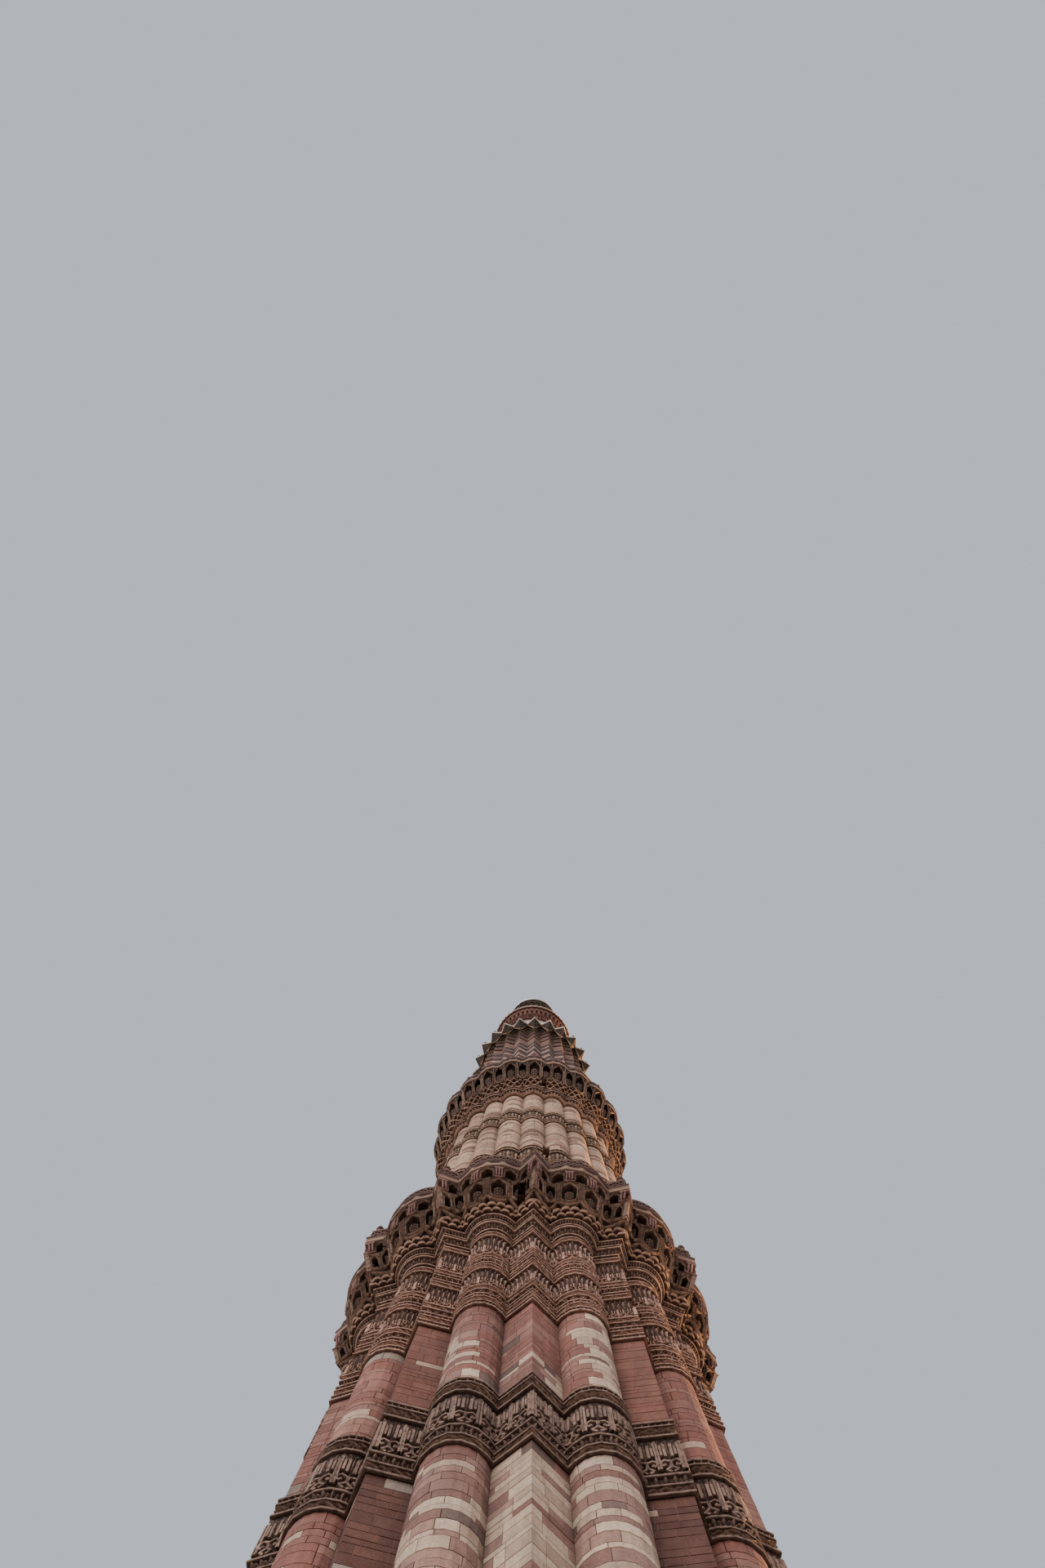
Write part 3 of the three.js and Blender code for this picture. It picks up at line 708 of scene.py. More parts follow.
def row_of_braid(flat, boards, y0, y1, z):
    """Two waves plaited round a row of beads."""
    high = y1 - y0
    for board, length in boards:
        places, step = spots(length, high * 1.3)
        for way in (-1, 1):
            wave = []
            for i in range(3 * len(places) + 1):
                swing = way * high * 0.36 * math.cos(math.pi * i / 3)
                wave.append((step * i / 3, (y0 + y1) / 2 + swing))
            strap(board, wave, high * 0.26, 0.015, z * (0.95 if way > 0 else 0.8))
        for s in places:
            for y in (y0 + 0.1 * high, y1 - 0.1 * high):
                stud(board, s, y, step * 0.16, high * 0.12, 0.015, z * 0.8)


def row_of_arches(flat, boards, y0, y1, z, thick=1.0):
    high = y1 - y0
    for board, _, s, step in along(boards, high * 0.8):
        path = []
        for i in range(7):
            a = math.pi * (1 - i / 6)
            up = high * (0.35 + 0.55 * math.sin(a) ** 0.8)
            path.append((s + 0.4 * step * math.cos(a), y0 + up))
        path = [(path[0][0], y0), *path, (path[-1][0], y0)]
        strap(board, path, 0.16 * step * thick, 0.01, z)
        ends = (s, y0 + 0.08 * high), (s, y0 + 0.75 * high)
        leaf(board, *ends, step * 0.36, 0.01, z * 0.7 * thick)


def bold_arches(flat, boards, y0, y1, z):
    row_of_arches(flat, boards, y0, y1, z * 1.3, 1.7)


def row_of_rosettes(flat, boards, y0, y1, z):
    middle = (y0 + y1) / 2
    for board, _, s, step in along(boards, (y1 - y0) * 1.05):
        r = min(step, y1 - y0) * 0.47
        for i in range(6):
            ds, dy = r * math.cos(math.pi * i / 3), r * math.sin(math.pi * i / 3)
            ends = (s + 0.25 * ds, middle + 0.25 * dy), (s + ds, middle + dy)
            leaf(board, *ends, r * 0.55, 0.015, z, fat=0.65)
        stud(board, s, middle, r * 0.26, r * 0.26, 0.015, z * 1.1, sides=6)


# Each half unit of the arabesque: stems (place, foot, head, width) and buds (place and turn).
STEMS = ((0.3, 0.44, 0.86, 0.07), (0.62, 0.48, 0.8, 0.06), (0.93, 0.12, 0.9, 0.075))
BUDS = (
    (0.3, 0.5, 0.2, 0.13), (0.62, 0.56, -0.2, 0.13), (0.62, 0.5, 0.22, 0.12),
    (0.93, 0.3, -0.2, 0.1), (0.12, 0.5, 0.1, 0.16), (0.8, 0.72, -0.1, 0.2),
    (0.46, 0.72, 0.0, 0.22),
)


def arabesque(flat, boards, y0, y1, z, ratio=0.5, thick=1.0):
    """A field of deep carving on a bed of small leaves. Each unit is its own mirror image: two
    scrolls with a boss at a tall lancet leaf, budded stems above them, a palmette at the edges."""
    high = y1 - y0
    bold = high * thick
    dark, light = flat.tone
    # The bed of small leaves is kept dark as part of the painted shade in the ground.
    bed_tone = (dark, dark + 0.36 * (light - dark))
    rng = random.Random(round(100 * y0))

    def varied_tone():
        return dark, dark + rng.uniform(0.65, 1.2) * (light - dark)

    for board, length in boards:
        rows = round(high / 0.14)
        for r in range(rows):
            for i, s in enumerate(spots(length, 0.14)[0]):
                y = y0 + (r + 0.5) * high / rows
                lean = 0.04 if (i + r) % 2 else -0.04
                ends = (s - lean, y - 0.055), (s + lean, y + 0.055)
                leaf(board, *ends, 0.085, 0.015, 0.4 * z, tone=bed_tone)
        count = max(1, round(length / (ratio * high)))
        half = length / count / 2
        for i in range(count):
            for way in (-1, 1):

                def at(s, y, slip=0.0):
                    s, y = s + rng.uniform(-slip, slip), y + rng.uniform(-slip, slip)
                    return ((2 * i + 1 + way * s) * half, y0 + y * high)

                curl = []
                for j in range(7):
                    a = math.pi * (1.5 - 0.33 * j)
                    r = (0.155 - 0.018 * j) * ratio / 0.5
                    curl.append(at(0.52 + r * high / half * math.cos(a), 0.25 + r * math.sin(a)))
                path = [at(0.1, 0.04), at(0.3, 0.07), *curl]
                ribbon(board, path, 0.055 * bold, 0.015, z, tone=varied_tone())
                stud(board, *at(0.52, 0.25), 0.05 * bold, 0.05 * bold, 0.015, z, sides=6)
                for s, foot, head, width in STEMS:
                    head += rng.uniform(-0.06, 0.0)
                    used = varied_tone()
                    stem = [at(s, foot), at(s, head - 0.06)]
                    ribbon(board, stem, width * bold, 0.015, z, tone=used)
                    ends = at(s, head - 0.1), at(s, head + 0.09, 0.02)
                    leaf(board, *ends, width * bold * 1.5, 0.015, z * 1.05, tone=used)
                for s, y, ds, dy in BUDS:
                    ends = at(s, y, 0.02), at(s + ds, y + dy, 0.03)
                    leaf(board, *ends, 0.08 * bold, 0.015, z * 0.85, tone=varied_tone())
            middle = (2 * i + 1) * half
            for foot, head, width in ((0.04, 0.5, 0.12), (0.42, 0.97, 0.09)):
                ends = (middle, y0 + foot * high), (middle, y0 + head * high)
                leaf(board, *ends, width * bold, 0.015, z * 1.1)


def fine_arabesque(flat, boards, y0, y1, z):
    """A row of scrolls with close-set lancets of two heights standing on it."""
    middle = y0 + 0.5 * (y1 - y0)
    arabesque(flat, boards, y0, middle, z, 0.75, 0.9)
    for board, i, s, step in along(boards, 0.125):
        top = y1 - (0.03 if i % 2 else 0.13)
        leaf(board, (s, middle - 0.08), (s, top), step * 0.62, 0.015, z, fat=0.7)
        stud(board, s + step / 2, y1 - 0.06, step * 0.22, 0.04, 0.015, z * 0.8)


def lattice(flat, boards, y0, y1, z):
    """Interlaced straps with a boss in every mesh."""
    rows = max(1, round((y1 - y0) / 0.32))
    h = (y1 - y0) / rows
    for board, _, s, w in along(boards, h):
        for r in range(rows):
            y = y0 + (r + 0.5) * h
            ring = [(s - w / 2, y), (s, y + h / 2), (s + w / 2, y), (s, y - h / 2)]
            ribbon(board, [*ring, ring[0]], 0.035, 0.015, z)
            for a in (0, 90, 180, 270):
                ds, dy = 0.3 * w * math.cos(math.radians(a)), 0.3 * h * math.sin(math.radians(a))
                leaf(board, (s, y), (s + ds, y + dy), 0.2 * w, 0.015, z * 0.8, fat=0.6)
            up = h / 2 * (1 if r < rows - 1 else -1)
            stud(board, s + w / 2, y + up, w * 0.14, h * 0.14, 0.015, z)


# Dark weathered sandstone, cut by chisel: its ground is dark with painted shade along with real
# dirt, and its raised edges are pale with a painted highlight along with wear. The finest work is
# small dark pockets, drawn 110 mm apart at full size to show.
carved_sandstone = stone_material(
    "carved_sandstone", 0.86, 0.2, 0.16, 0.005, 0.055, pockets=0.35, relief=0.012
)
CARVED = ("#1f1512", "#826b60")  # ground and raised work
PINK_CARVED = ("#2b1a13", "#a68475")


def halves(flat, x, half):
    """Boards for both halves of a flute, each from its crown to the valley."""
    return [(Board(flat, x, half, side=side), half) for side in (-1, 1)]


def mixed_boards(flat, face, lobe):
    return halves(flat, 0, face) + halves(flat, 1, lobe)


def boards_1(flat, z):
    return mixed_boards(flat, half_flute_1(0, z), half_flute_1(1, z))


def carve(flat, low, high, rows, make_boards, proud=0.085, plate=()):
    """A band's bed, and its rows of carving (kind, height), scaled to fill it."""
    # The bed behind the carving is painted dark as shade.
    plate = plate or [(low, 0.02, 0.05), (high, 0.02, 0.05)]
    moulding(flat, [(low, -0.03, 0), *plate, (high, -0.03, 0)])
    scale = (high - low) / sum(height for _, height in rows)
    y = low
    for kind, height in rows:
        top = y + height * scale
        kind(flat, make_boards(flat, (y + top) / 2), y, top, proud)
        y = top


def band(name, skin, low, high, rows, make_boards, every, proud=0.085, tone=CARVED):
    """A carved band that repeats every so many flutes; it takes the place of its CAD node."""
    flat = Flat(*tone, span=(-0.5, every - 0.5, 8 * every))
    carve(flat, low, high, rows, make_boards, proud)
    return lay(
        name + "_carving", flat, skin, carved_sandstone, [name], every
    )


FOURTH = [
    (fillet, 0.05), (row_of_braid, 0.17), (fillet, 0.04), (row_of_studs, 0.1),
    (row_of_teeth, 0.12), (fillet, 0.05), (arabesque, 1.06), (fillet, 0.05),
    (row_of_studs, 0.09), (row_of_braid, 0.16), (fillet, 0.04), (row_of_teeth, 0.09),
    (fillet, 0.05),
]
UPPER = [
    (fillet, 0.06), (row_of_studs, 0.1), (fillet, 0.04), (row_of_braid, 0.17), (fillet, 0.04),
    (row_of_teeth, 0.1), (fillet, 0.04), (row_of_rosettes, 0.2), (fillet, 0.04),
    (row_of_braid, 0.17), (fillet, 0.05), (fine_arabesque, 0.91), (fillet, 0.05),
    (row_of_braid, 0.15), (fillet, 0.04), (row_of_studs, 0.1), (fillet, 0.04),
    (row_of_arches, 0.2), (fillet, 0.04), (row_of_teeth, 0.1), (fillet, 0.04),
    (row_of_braid, 0.14), (fillet, 0.05), (fine_arabesque, 1.17), (fillet, 0.05),
    (row_of_braid, 0.16), (fillet, 0.06),
]
THIRD = [
    (fillet, 0.06), (row_of_braid, 0.17), (fillet, 0.05), (row_of_rosettes, 0.2), (fillet, 0.06),
    (lattice, 0.95), (fillet, 0.06), (row_of_studs, 0.1), (fillet, 0.05), (row_of_braid, 0.16),
    (fillet, 0.06),
]
for name, low, high, rows, tone in (
    ("second", 6.2, 8.2, FOURTH, CARVED),
    ("third", 11.5, 13.5, THIRD, CARVED),
    ("fourth", 17.2, 19.24, FOURTH, CARVED),
    ("upper", 22.36, 26.7, UPPER, PINK_CARVED),
):
    band(f"storey_1_band_{name}", skin_1, low, high, rows, boards_1, 2, tone=tone)


# ENTRANCE. A pointed arch of carved sandstone, built into the first wedge at the back with the
# lowest band cut off beside it. Its face has a rib, rosettes and a row of bosses round the arch.
LOWEST = [
    (fillet, 0.08), (row_of_studs, 0.14), (fillet, 0.05), (row_of_rosettes, 0.24), (fillet, 0.06),
    (arabesque, 0.8), (fillet, 0.06), (row_of_teeth, 0.14), (fillet, 0.08),
]
LOW, HIGH = 1.5, 3.2  # the lowest band's foot and top
gate = crossing(mixed_flutes, storey_1(2.3)[2], 1.0, BACK - 1, BACK)
gap = (gate, FLUTES - gate)
lowest = Flat(*CARVED)
for flute in range(FLUTES):
    for side in (-1, 1):
        if any(gap[0] < flute + side * part < gap[1] for part in (0.25, 0.45)):
            continue
        start, end = sorted((flute, flute + side * 0.5))
        start = max(start, gap[1]) if start > BACK else start
        end = min(end, gap[0]) if end < BACK else end
        lowest.span = (start, end, 4)
        half = half_flute_1(flute, (LOW + HIGH) / 2)
        boards = [(Board(lowest, flute, half, side=side), half * 2 * abs(end - start))]
        carve(lowest, LOW, HIGH, LOWEST, lambda flat, z: boards)
lay(
    "storey_1_band_lowest_carving", lowest, skin_1, carved_sandstone,
    ["storey_1_band_lowest"],
)

# Sandstone, cut and rubbed smooth by hand: matt and even, with faint stains.
rubbed_sandstone = stone_material(
    "rubbed_sandstone", 0.84, 0.2, 0.2, 0.005, 0.014, painted=("#6a5146", "#846a5d")
)
dress(rubbed_sandstone, "entrance_arch")
ARCH_HALF, ARCH_SPRING, ARCH_SHOULDER, ARCH_HEAD, ARCH_FACE = 0.6, 2.15, 2.85, 3.05, 6.85
ARCH_FOOT, FRAME_HALF, FRAME_TOP = 0.64, 0.9, 3.5
ROSETTE, ROSETTE_Y, PETAL = 0.64, 3.22, 0.19


def arch_line(grow):
    """The pointed arch and its jambs, moved outwards by grow."""
    half = [(-ARCH_HALF - grow, ARCH_FOOT)]
    for i in range(9):
        t = i / 8
        across = ARCH_HALF * (1 - t * t) * (1 + grow / ARCH_HALF)
        up = ARCH_SPRING * (1 - t) ** 2 + ARCH_SHOULDER * 2 * t * (1 - t) + ARCH_HEAD * t * t
        half.append((-across, up + grow * t))
    return half + [(-s, y) for s, y in half[-2::-1]]


dressing = Flat(*CARVED)
for grow, width, out in ((0.05, 0.08, 0.06), (0.19, 0.05, 0.04)):
    strap(dressing, arch_line(grow), width, 0.0, out)
line = arch_line(0.12)
for (s0, y0), (s1, y1) in zip(line, line[1:]):
    count = max(1, round(math.dist((s0, y0), (s1, y1)) / 0.1))
    for i in range(count):
        t = (i + 0.5) / count
        s, y = s0 + t * (s1 - s0), y0 + t * (y1 - y0)
        stud(dressing, s, y, 0.035, 0.035, 0.0, 0.04, sides=6)
border = [(-FRAME_HALF, ARCH_FOOT), (-FRAME_HALF, FRAME_TOP)]
strap(dressing, border + [(-s, y) for s, y in border[::-1]], 0.06, 0.0, 0.06)
for s in (-ROSETTE, ROSETTE):
    for i in range(8):
        a = math.radians(45 * i)
        reach = (s + PETAL * math.cos(a), ROSETTE_Y + PETAL * math.sin(a))
        leaf(dressing, (s, ROSETTE_Y), reach, 0.09, 0.0, 0.05, fat=0.65)
carving = coloured_mesh(
    "entrance_arch_carving",
    [(-s * SIZE, (ARCH_FACE + out) * SIZE, y * SIZE) for s, y, out in dressing.points],
    dressing.faces, dressing.colours,
)
carving.materials.append(carved_sandstone)
hand_over(new_object("entrance_arch_carving", carving))
bpy.data.objects.remove(skin_1[0])


# FIRST BALCONY'S CORBEL. Courses of carved sandstone, each built out over the one below: tiers of
# scallops, a wavy moulding, cusped niches with hatched bowls, lattice pilasters and rolls.
def corbel_skin(name, section, ring, steps, below=()):
    """A skin that steps out: ring holds each size at the foot and at the top, and steps how far
    a height is from one to the other. Returns the sizes at the top as well."""
    levels = [
        (z, section, {size: taper(reach, *ends, 0, 1) for size, ends in ring.items()})
        for z, reach in steps
    ]
    return make_skin(name, [*below, *levels]), levels[-1][2]


RING_1 = {
    "tip": (4.74, 5.85), "crown": (4.74, 5.7), "lobe": (0.5626, 1.45),
    "half": (math.radians(50), math.radians(45)),
}
REACH_1 = [
    (26.6, 0.0), (26.73, 0.01), (26.82, 0.03), (26.88, 0.06), (27.05, 0.17), (27.1, 0.18),
    (27.14, 0.21), (27.3, 0.29), (27.75, 0.48), (28.6, 0.78), (29.2, 0.92), (29.5, 1.0),
    (30.7, 1.0),
]
skin_corbel_1, rim_1 = corbel_skin("skin_corbel_1", mixed_flutes, RING_1, REACH_1)
LOBE, FACE = 0.985, 0.633  # half a round flute and one face of a wedge, at the niches
DEEP = -0.17


def leaning(steps):
    """How far the front of the tiers stands out of the skin, from (height, out) pairs."""
    heights, outs = zip(*steps)
    return lambda y: float(np.interp(y, heights, outs))


def block(board, s0, s1, y0, y1, back, front, shade=0.6, tone=None):
    """A flat-faced block, open at the back; its sides are painted dark towards the back as shade.
    """
    edges = [s0, 0, s1] if s0 < 0 < s1 else [s0, s1]
    for a, b in zip(edges, edges[1:]):
        ring = [(a, y0), (b, y0), (b, y1), (a, y1)]
        points = [(s, y, z) for z in (back, front) for s, y in ring]
        faces = [(4, 5, 6, 7), (0, 1, 5, 4), (1, 2, 6, 5), (2, 3, 7, 6), (3, 0, 4, 7)]
        board.add(points, faces, [0.05] * 4 + [shade] * 4, tone)


def cusped(s, foot, spring, crown, width, scoop=0.0):
    """Outline of a cusped arch, from left to right over its crown; scoop rounds off its foot."""
    low = [(s - width / 2, foot)]
    if scoop:
        turns = [math.radians(270 - 24 * i) for i in range(4)]
        low = [(s + width / 2 * math.cos(a), foot + scoop * (1 + math.sin(a))) for a in turns]
    path = list(low)
    for i in range(11):
        a = math.radians(180 - 18 * i)
        pull = 1 - 0.13 * (1 - abs(math.cos(2.5 * (a - math.pi / 2))))
        point = (1 + 0.18 * max(0.0, math.sin(a)) ** 8) / 1.18
        up = (crown - spring) * math.sin(a) * pull * point
        path.append((s + width / 2 * math.cos(a) * pull, spring + up))
    return [*path, *((2 * s - px, py) for px, py in low[::-1])]


def boxed(s, foot, spring, top, width, scoop=0.0):
    """The square frame round an arch, point for point with cusped()."""
    left, right = s - width / 2, s + width / 2
    low = [(left, foot)]
    if scoop:
        low = [(s, foot), ((s + left) / 2, foot), (left, foot), (left, foot + scoop / 2)]
    path = list(low)
    for a in range(180, -1, -18):
        if a > 126:
            path.append((left, spring + (top - spring) * (180 - a) / 54))
        elif a < 54:
            path.append((right, spring + (top - spring) * a / 54))
        else:
            path.append((left + (right - left) * (126 - a) / 72, top))
    return [*path, *((2 * s - px, py) for px, py in low[::-1])]


def surround(board, inner, outer, front, back, shade):
    """A plate with an arched opening: its face, and the jambs and soffit going back, painted
    darker towards the back as shade.
    """
    n = len(inner)
    points = [(s, y, front) for s, y in inner + outer] + [(s, y, back) for s, y in inner]
    faces = []
    for i in range(n - 1):
        faces.append((i, i + 1, n + i + 1, n + i))
        faces.append((2 * n + i, 2 * n + i + 1, i + 1, i))
    board.add(points, faces, [shade] * (2 * n) + [0.0] * n)


def bowl(board, s, foot, top, width, back, out):
    """The hatched basket that closes the lower part of a niche: rows of small raised lozenges,
    with painted shade in the ground between them.
    """
    columns, rows = 6, 5
    wide = columns + 1
    points, faces, shades = [], [], []
    for r in range(rows + 1):
        v = r / rows
        half = width / 2 * math.sqrt(1 - 0.8 * (1 - v) ** 2)
        for c in range(wide):
            u = 2 * c / columns - 1
            bulge = math.sqrt(max(0.0, 1 - u * u)) * (0.35 + 0.65 * math.sqrt(v))
            points.append((s + half * u, foot + (top - foot) * v, back + (out - back) * bulge))
            shades.append(0.0)
    for corners in grid(rows + 1, wide):
        middle = np.mean([points[i] for i in corners], axis=0)
        first = len(points)
        for i in corners:
            x, y, z = (float(v) for v in middle * 0.45 + np.array(points[i]) * 0.55)
            points.append((x, y, z + 0.022))
            shades.append(0.55)
        faces.append(tuple(first + i for i in range(4)))
        for i, j in ((0, 1), (1, 2), (2, 3), (3, 0)):
            faces.append((corners[i], corners[j], first + j, first + i))
    lip = rows * wide
    first = len(points)
    points += [(points[lip + c][0], top, back) for c in range(wide)]
    shades += [0.0] * wide
    faces += [(lip + c, lip + c + 1, first + c + 1, first + c) for c in range(columns)]
    board.add(points, faces, shades)


RIM = (linear("#3a2820"), linear("#8a7162"))
PALE_ROLLS = (linear("#33211b"), linear("#80605a"))
TOOTH = (linear("#2c1e19"), linear("#8d7060"))


def toothed(board, half, y, tall, depth, count, rounded=False, shift=0):
    """A shelf whose edge is cut into teeth or scallops; the soffit is painted dark as shade up to a
    painted highlight along the rim.
    """
    segments = 6 if rounded else 2
    line = []
    for i in range(segments * count + 1):
        u = 2 * ((i + shift) % segments) / segments - 1
        swell = math.sqrt(1 - u * u) if rounded else 1 - abs(u)
        line.append((half * (2 * i / (segments * count) - 1), depth * (0.3 + 0.7 * swell)))
    rows = [
        (y, None, 0.0), (y, -0.022, 0.2), (y, -0.02, 0.9), (y, 0, 0.9), (y + tall, 0, 1.0),
        (y + tall + 0.01, None, 0.3),
    ]
    points, shades = [], []
    for level, inset, shade in rows:
        points += [(s, level, -0.03 if inset is None else out + inset) for s, out in line]
        shades += [shade] * len(line)
    board.add(points, grid(len(rows), len(line)), shades, TOOTH)


def niche(board, s, foot, top, width, cell, back=DEEP, front=0.0, basket=0.0, face=0.3):
    """A cusped niche: plate, two light rims and, in the large ones, a hatched bowl that fills
    the share basket of its height."""
    high = top - foot
    spring = foot + 0.62 * high
    scoop = 0.25 * high if basket else 0.0
    inner = cusped(s, foot, spring, top - 0.05 * high, width, scoop)
    surround(board, inner, boxed(s, foot, spring, top, cell, scoop), front, back, face)
    for grow, cord, out in ((1, 0.035, 0.045), (1.14, 0.025, 0.025)):
        path = cusped(s, foot, spring, top - 0.03 * high, width * grow, scoop)
        strap(board, path, cord, front - 0.01, front + out, tone=RIM)
    if basket:
        bowl(board, s, foot, foot + basket * high, width * 0.98, back, front)


def pilaster(board, s, foot, top, width):
    """A flat pilaster carved with a lattice."""
    low, high = 0.02, 0.05
    # The pilaster's ground is painted dark as shade behind its lattice.
    block(board, s - width / 2, s + width / 2, foot, top, DEEP, low, 0.1)
    count = max(2, round((top - foot) / (width * 0.6)))
    step = (top - foot) / count
    for i in range(count):
        y = foot + (i + 0.5) * step
        for across in (-width * 0.44, width * 0.44):
            ends = [(s - across, y - step / 2), (s + across, y + step / 2)]
            strap(board, ends, 0.03, low, high)
        stud(board, s, y + step / 2, width * 0.14, step * 0.16, low, high + 0.005)
    for edge in (s - width * 0.47, s + width * 0.47):
        strap(board, [(edge, foot), (edge, top)], 0.03, low, high)


def rolls(board, s, foot, top, count, width, front):
    """Vertical rolls side by side, like short balusters; each has a painted highlight down its
    middle and painted shade at its sides.
    """
    step = width / count
    end = 0.15 * (top - foot)
    stages = [(foot, 0.55), (foot + end, 1), (top - end, 1), (top, 0.6)]
    for i in range(count):
        middle = s - width / 2 + (i + 0.5) * step
        points = []
        for y, swell in stages:
            for j in range(5):
                a = math.pi * j / 4
                out = front + 0.08 * swell * math.sin(a) if 0 < j < 4 else DEEP
                points.append((middle - step * 0.45 * swell * math.cos(a), y, out))
        faces = grid(4, 5) + [(4, 3, 2, 1, 0), (15, 16, 17, 18, 19)]
        board.add(points, faces, [0.0, 0.6, 1.0, 0.6, 0.0] * 4, PALE_ROLLS)


LEAN_1 = leaning([
    (27.3, 0.02), (27.32, 0.05), (27.5399, 0.02), (27.5401, 0.04), (27.7199, 0.0),
    (27.7201, 0.02), (27.8999, 0.02), (27.9001, 0.04), (28.6199, 0.02), (28.6201, 0.04),
    (29.17, -0.01), (29.6, -0.01),
])
CORBEL_TONES = ("#1f130f", "#7a6256")
SPAN_1 = (-0.5, 1.5, 32)
corbel = Flat(*CORBEL_TONES, SPAN_1)
# The rings' steps back are painted dark as shade and their faces carry a painted highlight.
moulding(corbel, [
    (26.72, -0.04, 0), (26.83, -0.06, 0), (26.835, 0.04, 0.5), (26.87, 0.04, 2.6),
    (26.88, -0.03, 0.0), (27.01, -0.02, 0.0), (27.02, 0.06, 0.9), (27.05, 0.06, 2.6),
    (27.06, -0.05, 0.0), (27.115, -0.05, 0.0), (27.12, 0.03, 0.5), (27.15, 0.03, 2.3),
    (27.16, -0.03, 0.0), (27.24, -0.03, 0.0), (27.25, 0.06, 0.9), (27.28, 0.06, 2.6),
    (27.29, -0.04, 0),
])
string_boards = mixed_boards(corbel, FACE, LOBE)
row_of_teeth(corbel, string_boards, 26.88, 27.01, 0.05)
row_of_studs(corbel, string_boards, 27.16, 27.26, 0.05)
# The back wall of the tiers and niches is painted dark as shade.
ground = [(27.3, DEEP, 0.0), (27.31, -0.02, 0.3), (27.71, -0.02, 0.3), (27.72, DEEP, 0.0)]
moulding(corbel, [*ground, (29.2, DEEP, 0.0)], lean=LEAN_1)
# Each shelf is painted dark underneath as shade, with a painted highlight on its edge.
for y in (27.9001, 28.6201):
    lip = [(0.0005, DEEP, 0.0), (0.0005, -0.01, 0.2), (0.02, 0.0, 0.9), (0.03, -0.03, 0.4)]
    moulding(corbel, [(y + up, out, shade) for up, out, shade in lip], lean=LEAN_1)

lobe = Board(corbel, 1, LOBE, lean=LEAN_1)
tip = Board(corbel, 0, FACE, lean=LEAN_1)
FOLD = (0.14, 0.3)  # the niches in the valleys stand across the fold, this far out of its bottom
valleys = [
    Board(corbel, 0.5, LOBE, FACE, lean=LEAN_1, bridge=FOLD),
    Board(corbel, 1.5, LOBE, FACE, side=-1, lean=LEAN_1, bridge=FOLD),
]

# Two rows of scallops, each shelf's edge cut into small round lobes over a soffit that is
# painted dark as shade.
for board, count, half in ((lobe, 7, LOBE), (tip, 5, FACE)):
    toothed(board, half, 27.33, 0.07, 0.1, count, rounded=True)
    toothed(board, half, 27.52, 0.07, 0.1, count, rounded=True, shift=3)

# Wavy moulding: it dips under every bowl and peaks over a pointed recess at the pilasters,
# painted dark as shade.
DIP, PEAK = 27.72, 27.9
for board, half, peaks, wide in ((lobe, LOBE, (-0.69, 0.0, 0.69), 0.16), (tip, FACE, (0.0,), 0.22)):
    edges = sorted({-half, half, *(p + d for p in peaks for d in (-wide, wide))})
    for a, b in zip(edges, edges[1:]):
        p = (a + b) / 2
        if any(abs(p - peak) < 0.1 for peak in peaks):
            low = [(wide * 0.85, DIP + 0.005), (wide * 0.5, 27.78)]
            hole = [(p - d, y) for d, y in low] + [(p, 27.885)] + [(p + d, y) for d, y in low[::-1]]
            outer = [(a, DIP), (a, PEAK), (p, PEAK), (b, PEAK), (b, DIP)]
            surround(board, hole, outer, 0.0, -0.15, 0.3)
        else:
            block(board, a, b, DIP, PEAK, DEEP, 0.0, 0.25)
    for level, out in ((0.0, 0.05), (0.05, 0.04)):
        wave = []
        for i in range(41):
            s = -half + 2 * half * i / 40
            near = 1 - min(abs(s - p) for p in peaks) / (1.9 * wide)
            wave.append((s, 27.735 + level + (0.11 + 0.3 * wide) * max(0.0, near) ** 1.4))
        strap(board, wave, 0.05, 0.0, out, tone=RIM)

# Large niches between pilasters.
for s in (-0.35, 0.35):
    niche(lobe, s, 27.87, 28.6, 0.5, 0.56, back=-0.3, basket=0.5)
for s, width in ((-0.665, 0.08), (0, 0.15), (0.665, 0.08)):
    pilaster(lobe, s, PEAK, 28.6, width)
for board in valleys:
    niche(board, 0, 27.87, 28.6, 0.5, 0.57, back=-0.3, basket=0.5)

# Console on each wedge: a gabled block with two trefoil holes.
for s in (-0.18, 0.18):
    niche(tip, s, 28.0, 28.45, 0.22, 0.34, front=0.05)
    block(tip, s - 0.17, s + 0.17, 28.45, 28.6, DEEP, 0.04, 0.4)
    block(tip, s - 0.17, s + 0.17, PEAK, 28.0, DEEP, 0.05, 0.5)
block(tip, -0.03, 0.03, PEAK, 28.6, DEEP, 0.08, 0.9)
for (outer, inner, middle), width, out in (
    ((28.4, 28.47, 28.62), 0.06, 0.1), ((27.96, 27.93, 28.0), 0.05, 0.09)
):
    gable = [(-0.34, outer), (-0.2, inner), (0, middle), (0.2, inner), (0.34, outer)]
    strap(tip, gable, width, 0.03, out, tone=RIM)

# Upper tier: small arches over the pilasters, and brackets of rolls over the niches.
for s, cell in ((-0.71, 0.44), (0, 0.46), (0.71, 0.44)):
    niche(lobe, s, 28.64, 29.15, 0.39, cell, back=-0.26)
for s in (-0.36, 0.36):
    rolls(lobe, s, 28.66, 29.1, 3, 0.24, 0.0)
    block(lobe, s - 0.13, s + 0.13, 29.08, 29.15, DEEP, 0.05, 0.9, PALE_ROLLS)
    block(lobe, s - 0.13, s + 0.13, 28.63, 28.67, DEEP, 0.03, 0.9, PALE_ROLLS)
for s in (-0.41, 0.41):
    niche(tip, s, 28.64, 29.15, 0.33, 0.36, back=-0.22)
for s in (-0.11, 0.11):
    rolls(tip, s, 28.66, 29.1, 2, 0.2, 0.03)
block(tip, -0.23, 0.23, 29.08, 29.15, DEEP, 0.08, 0.8, PALE_ROLLS)
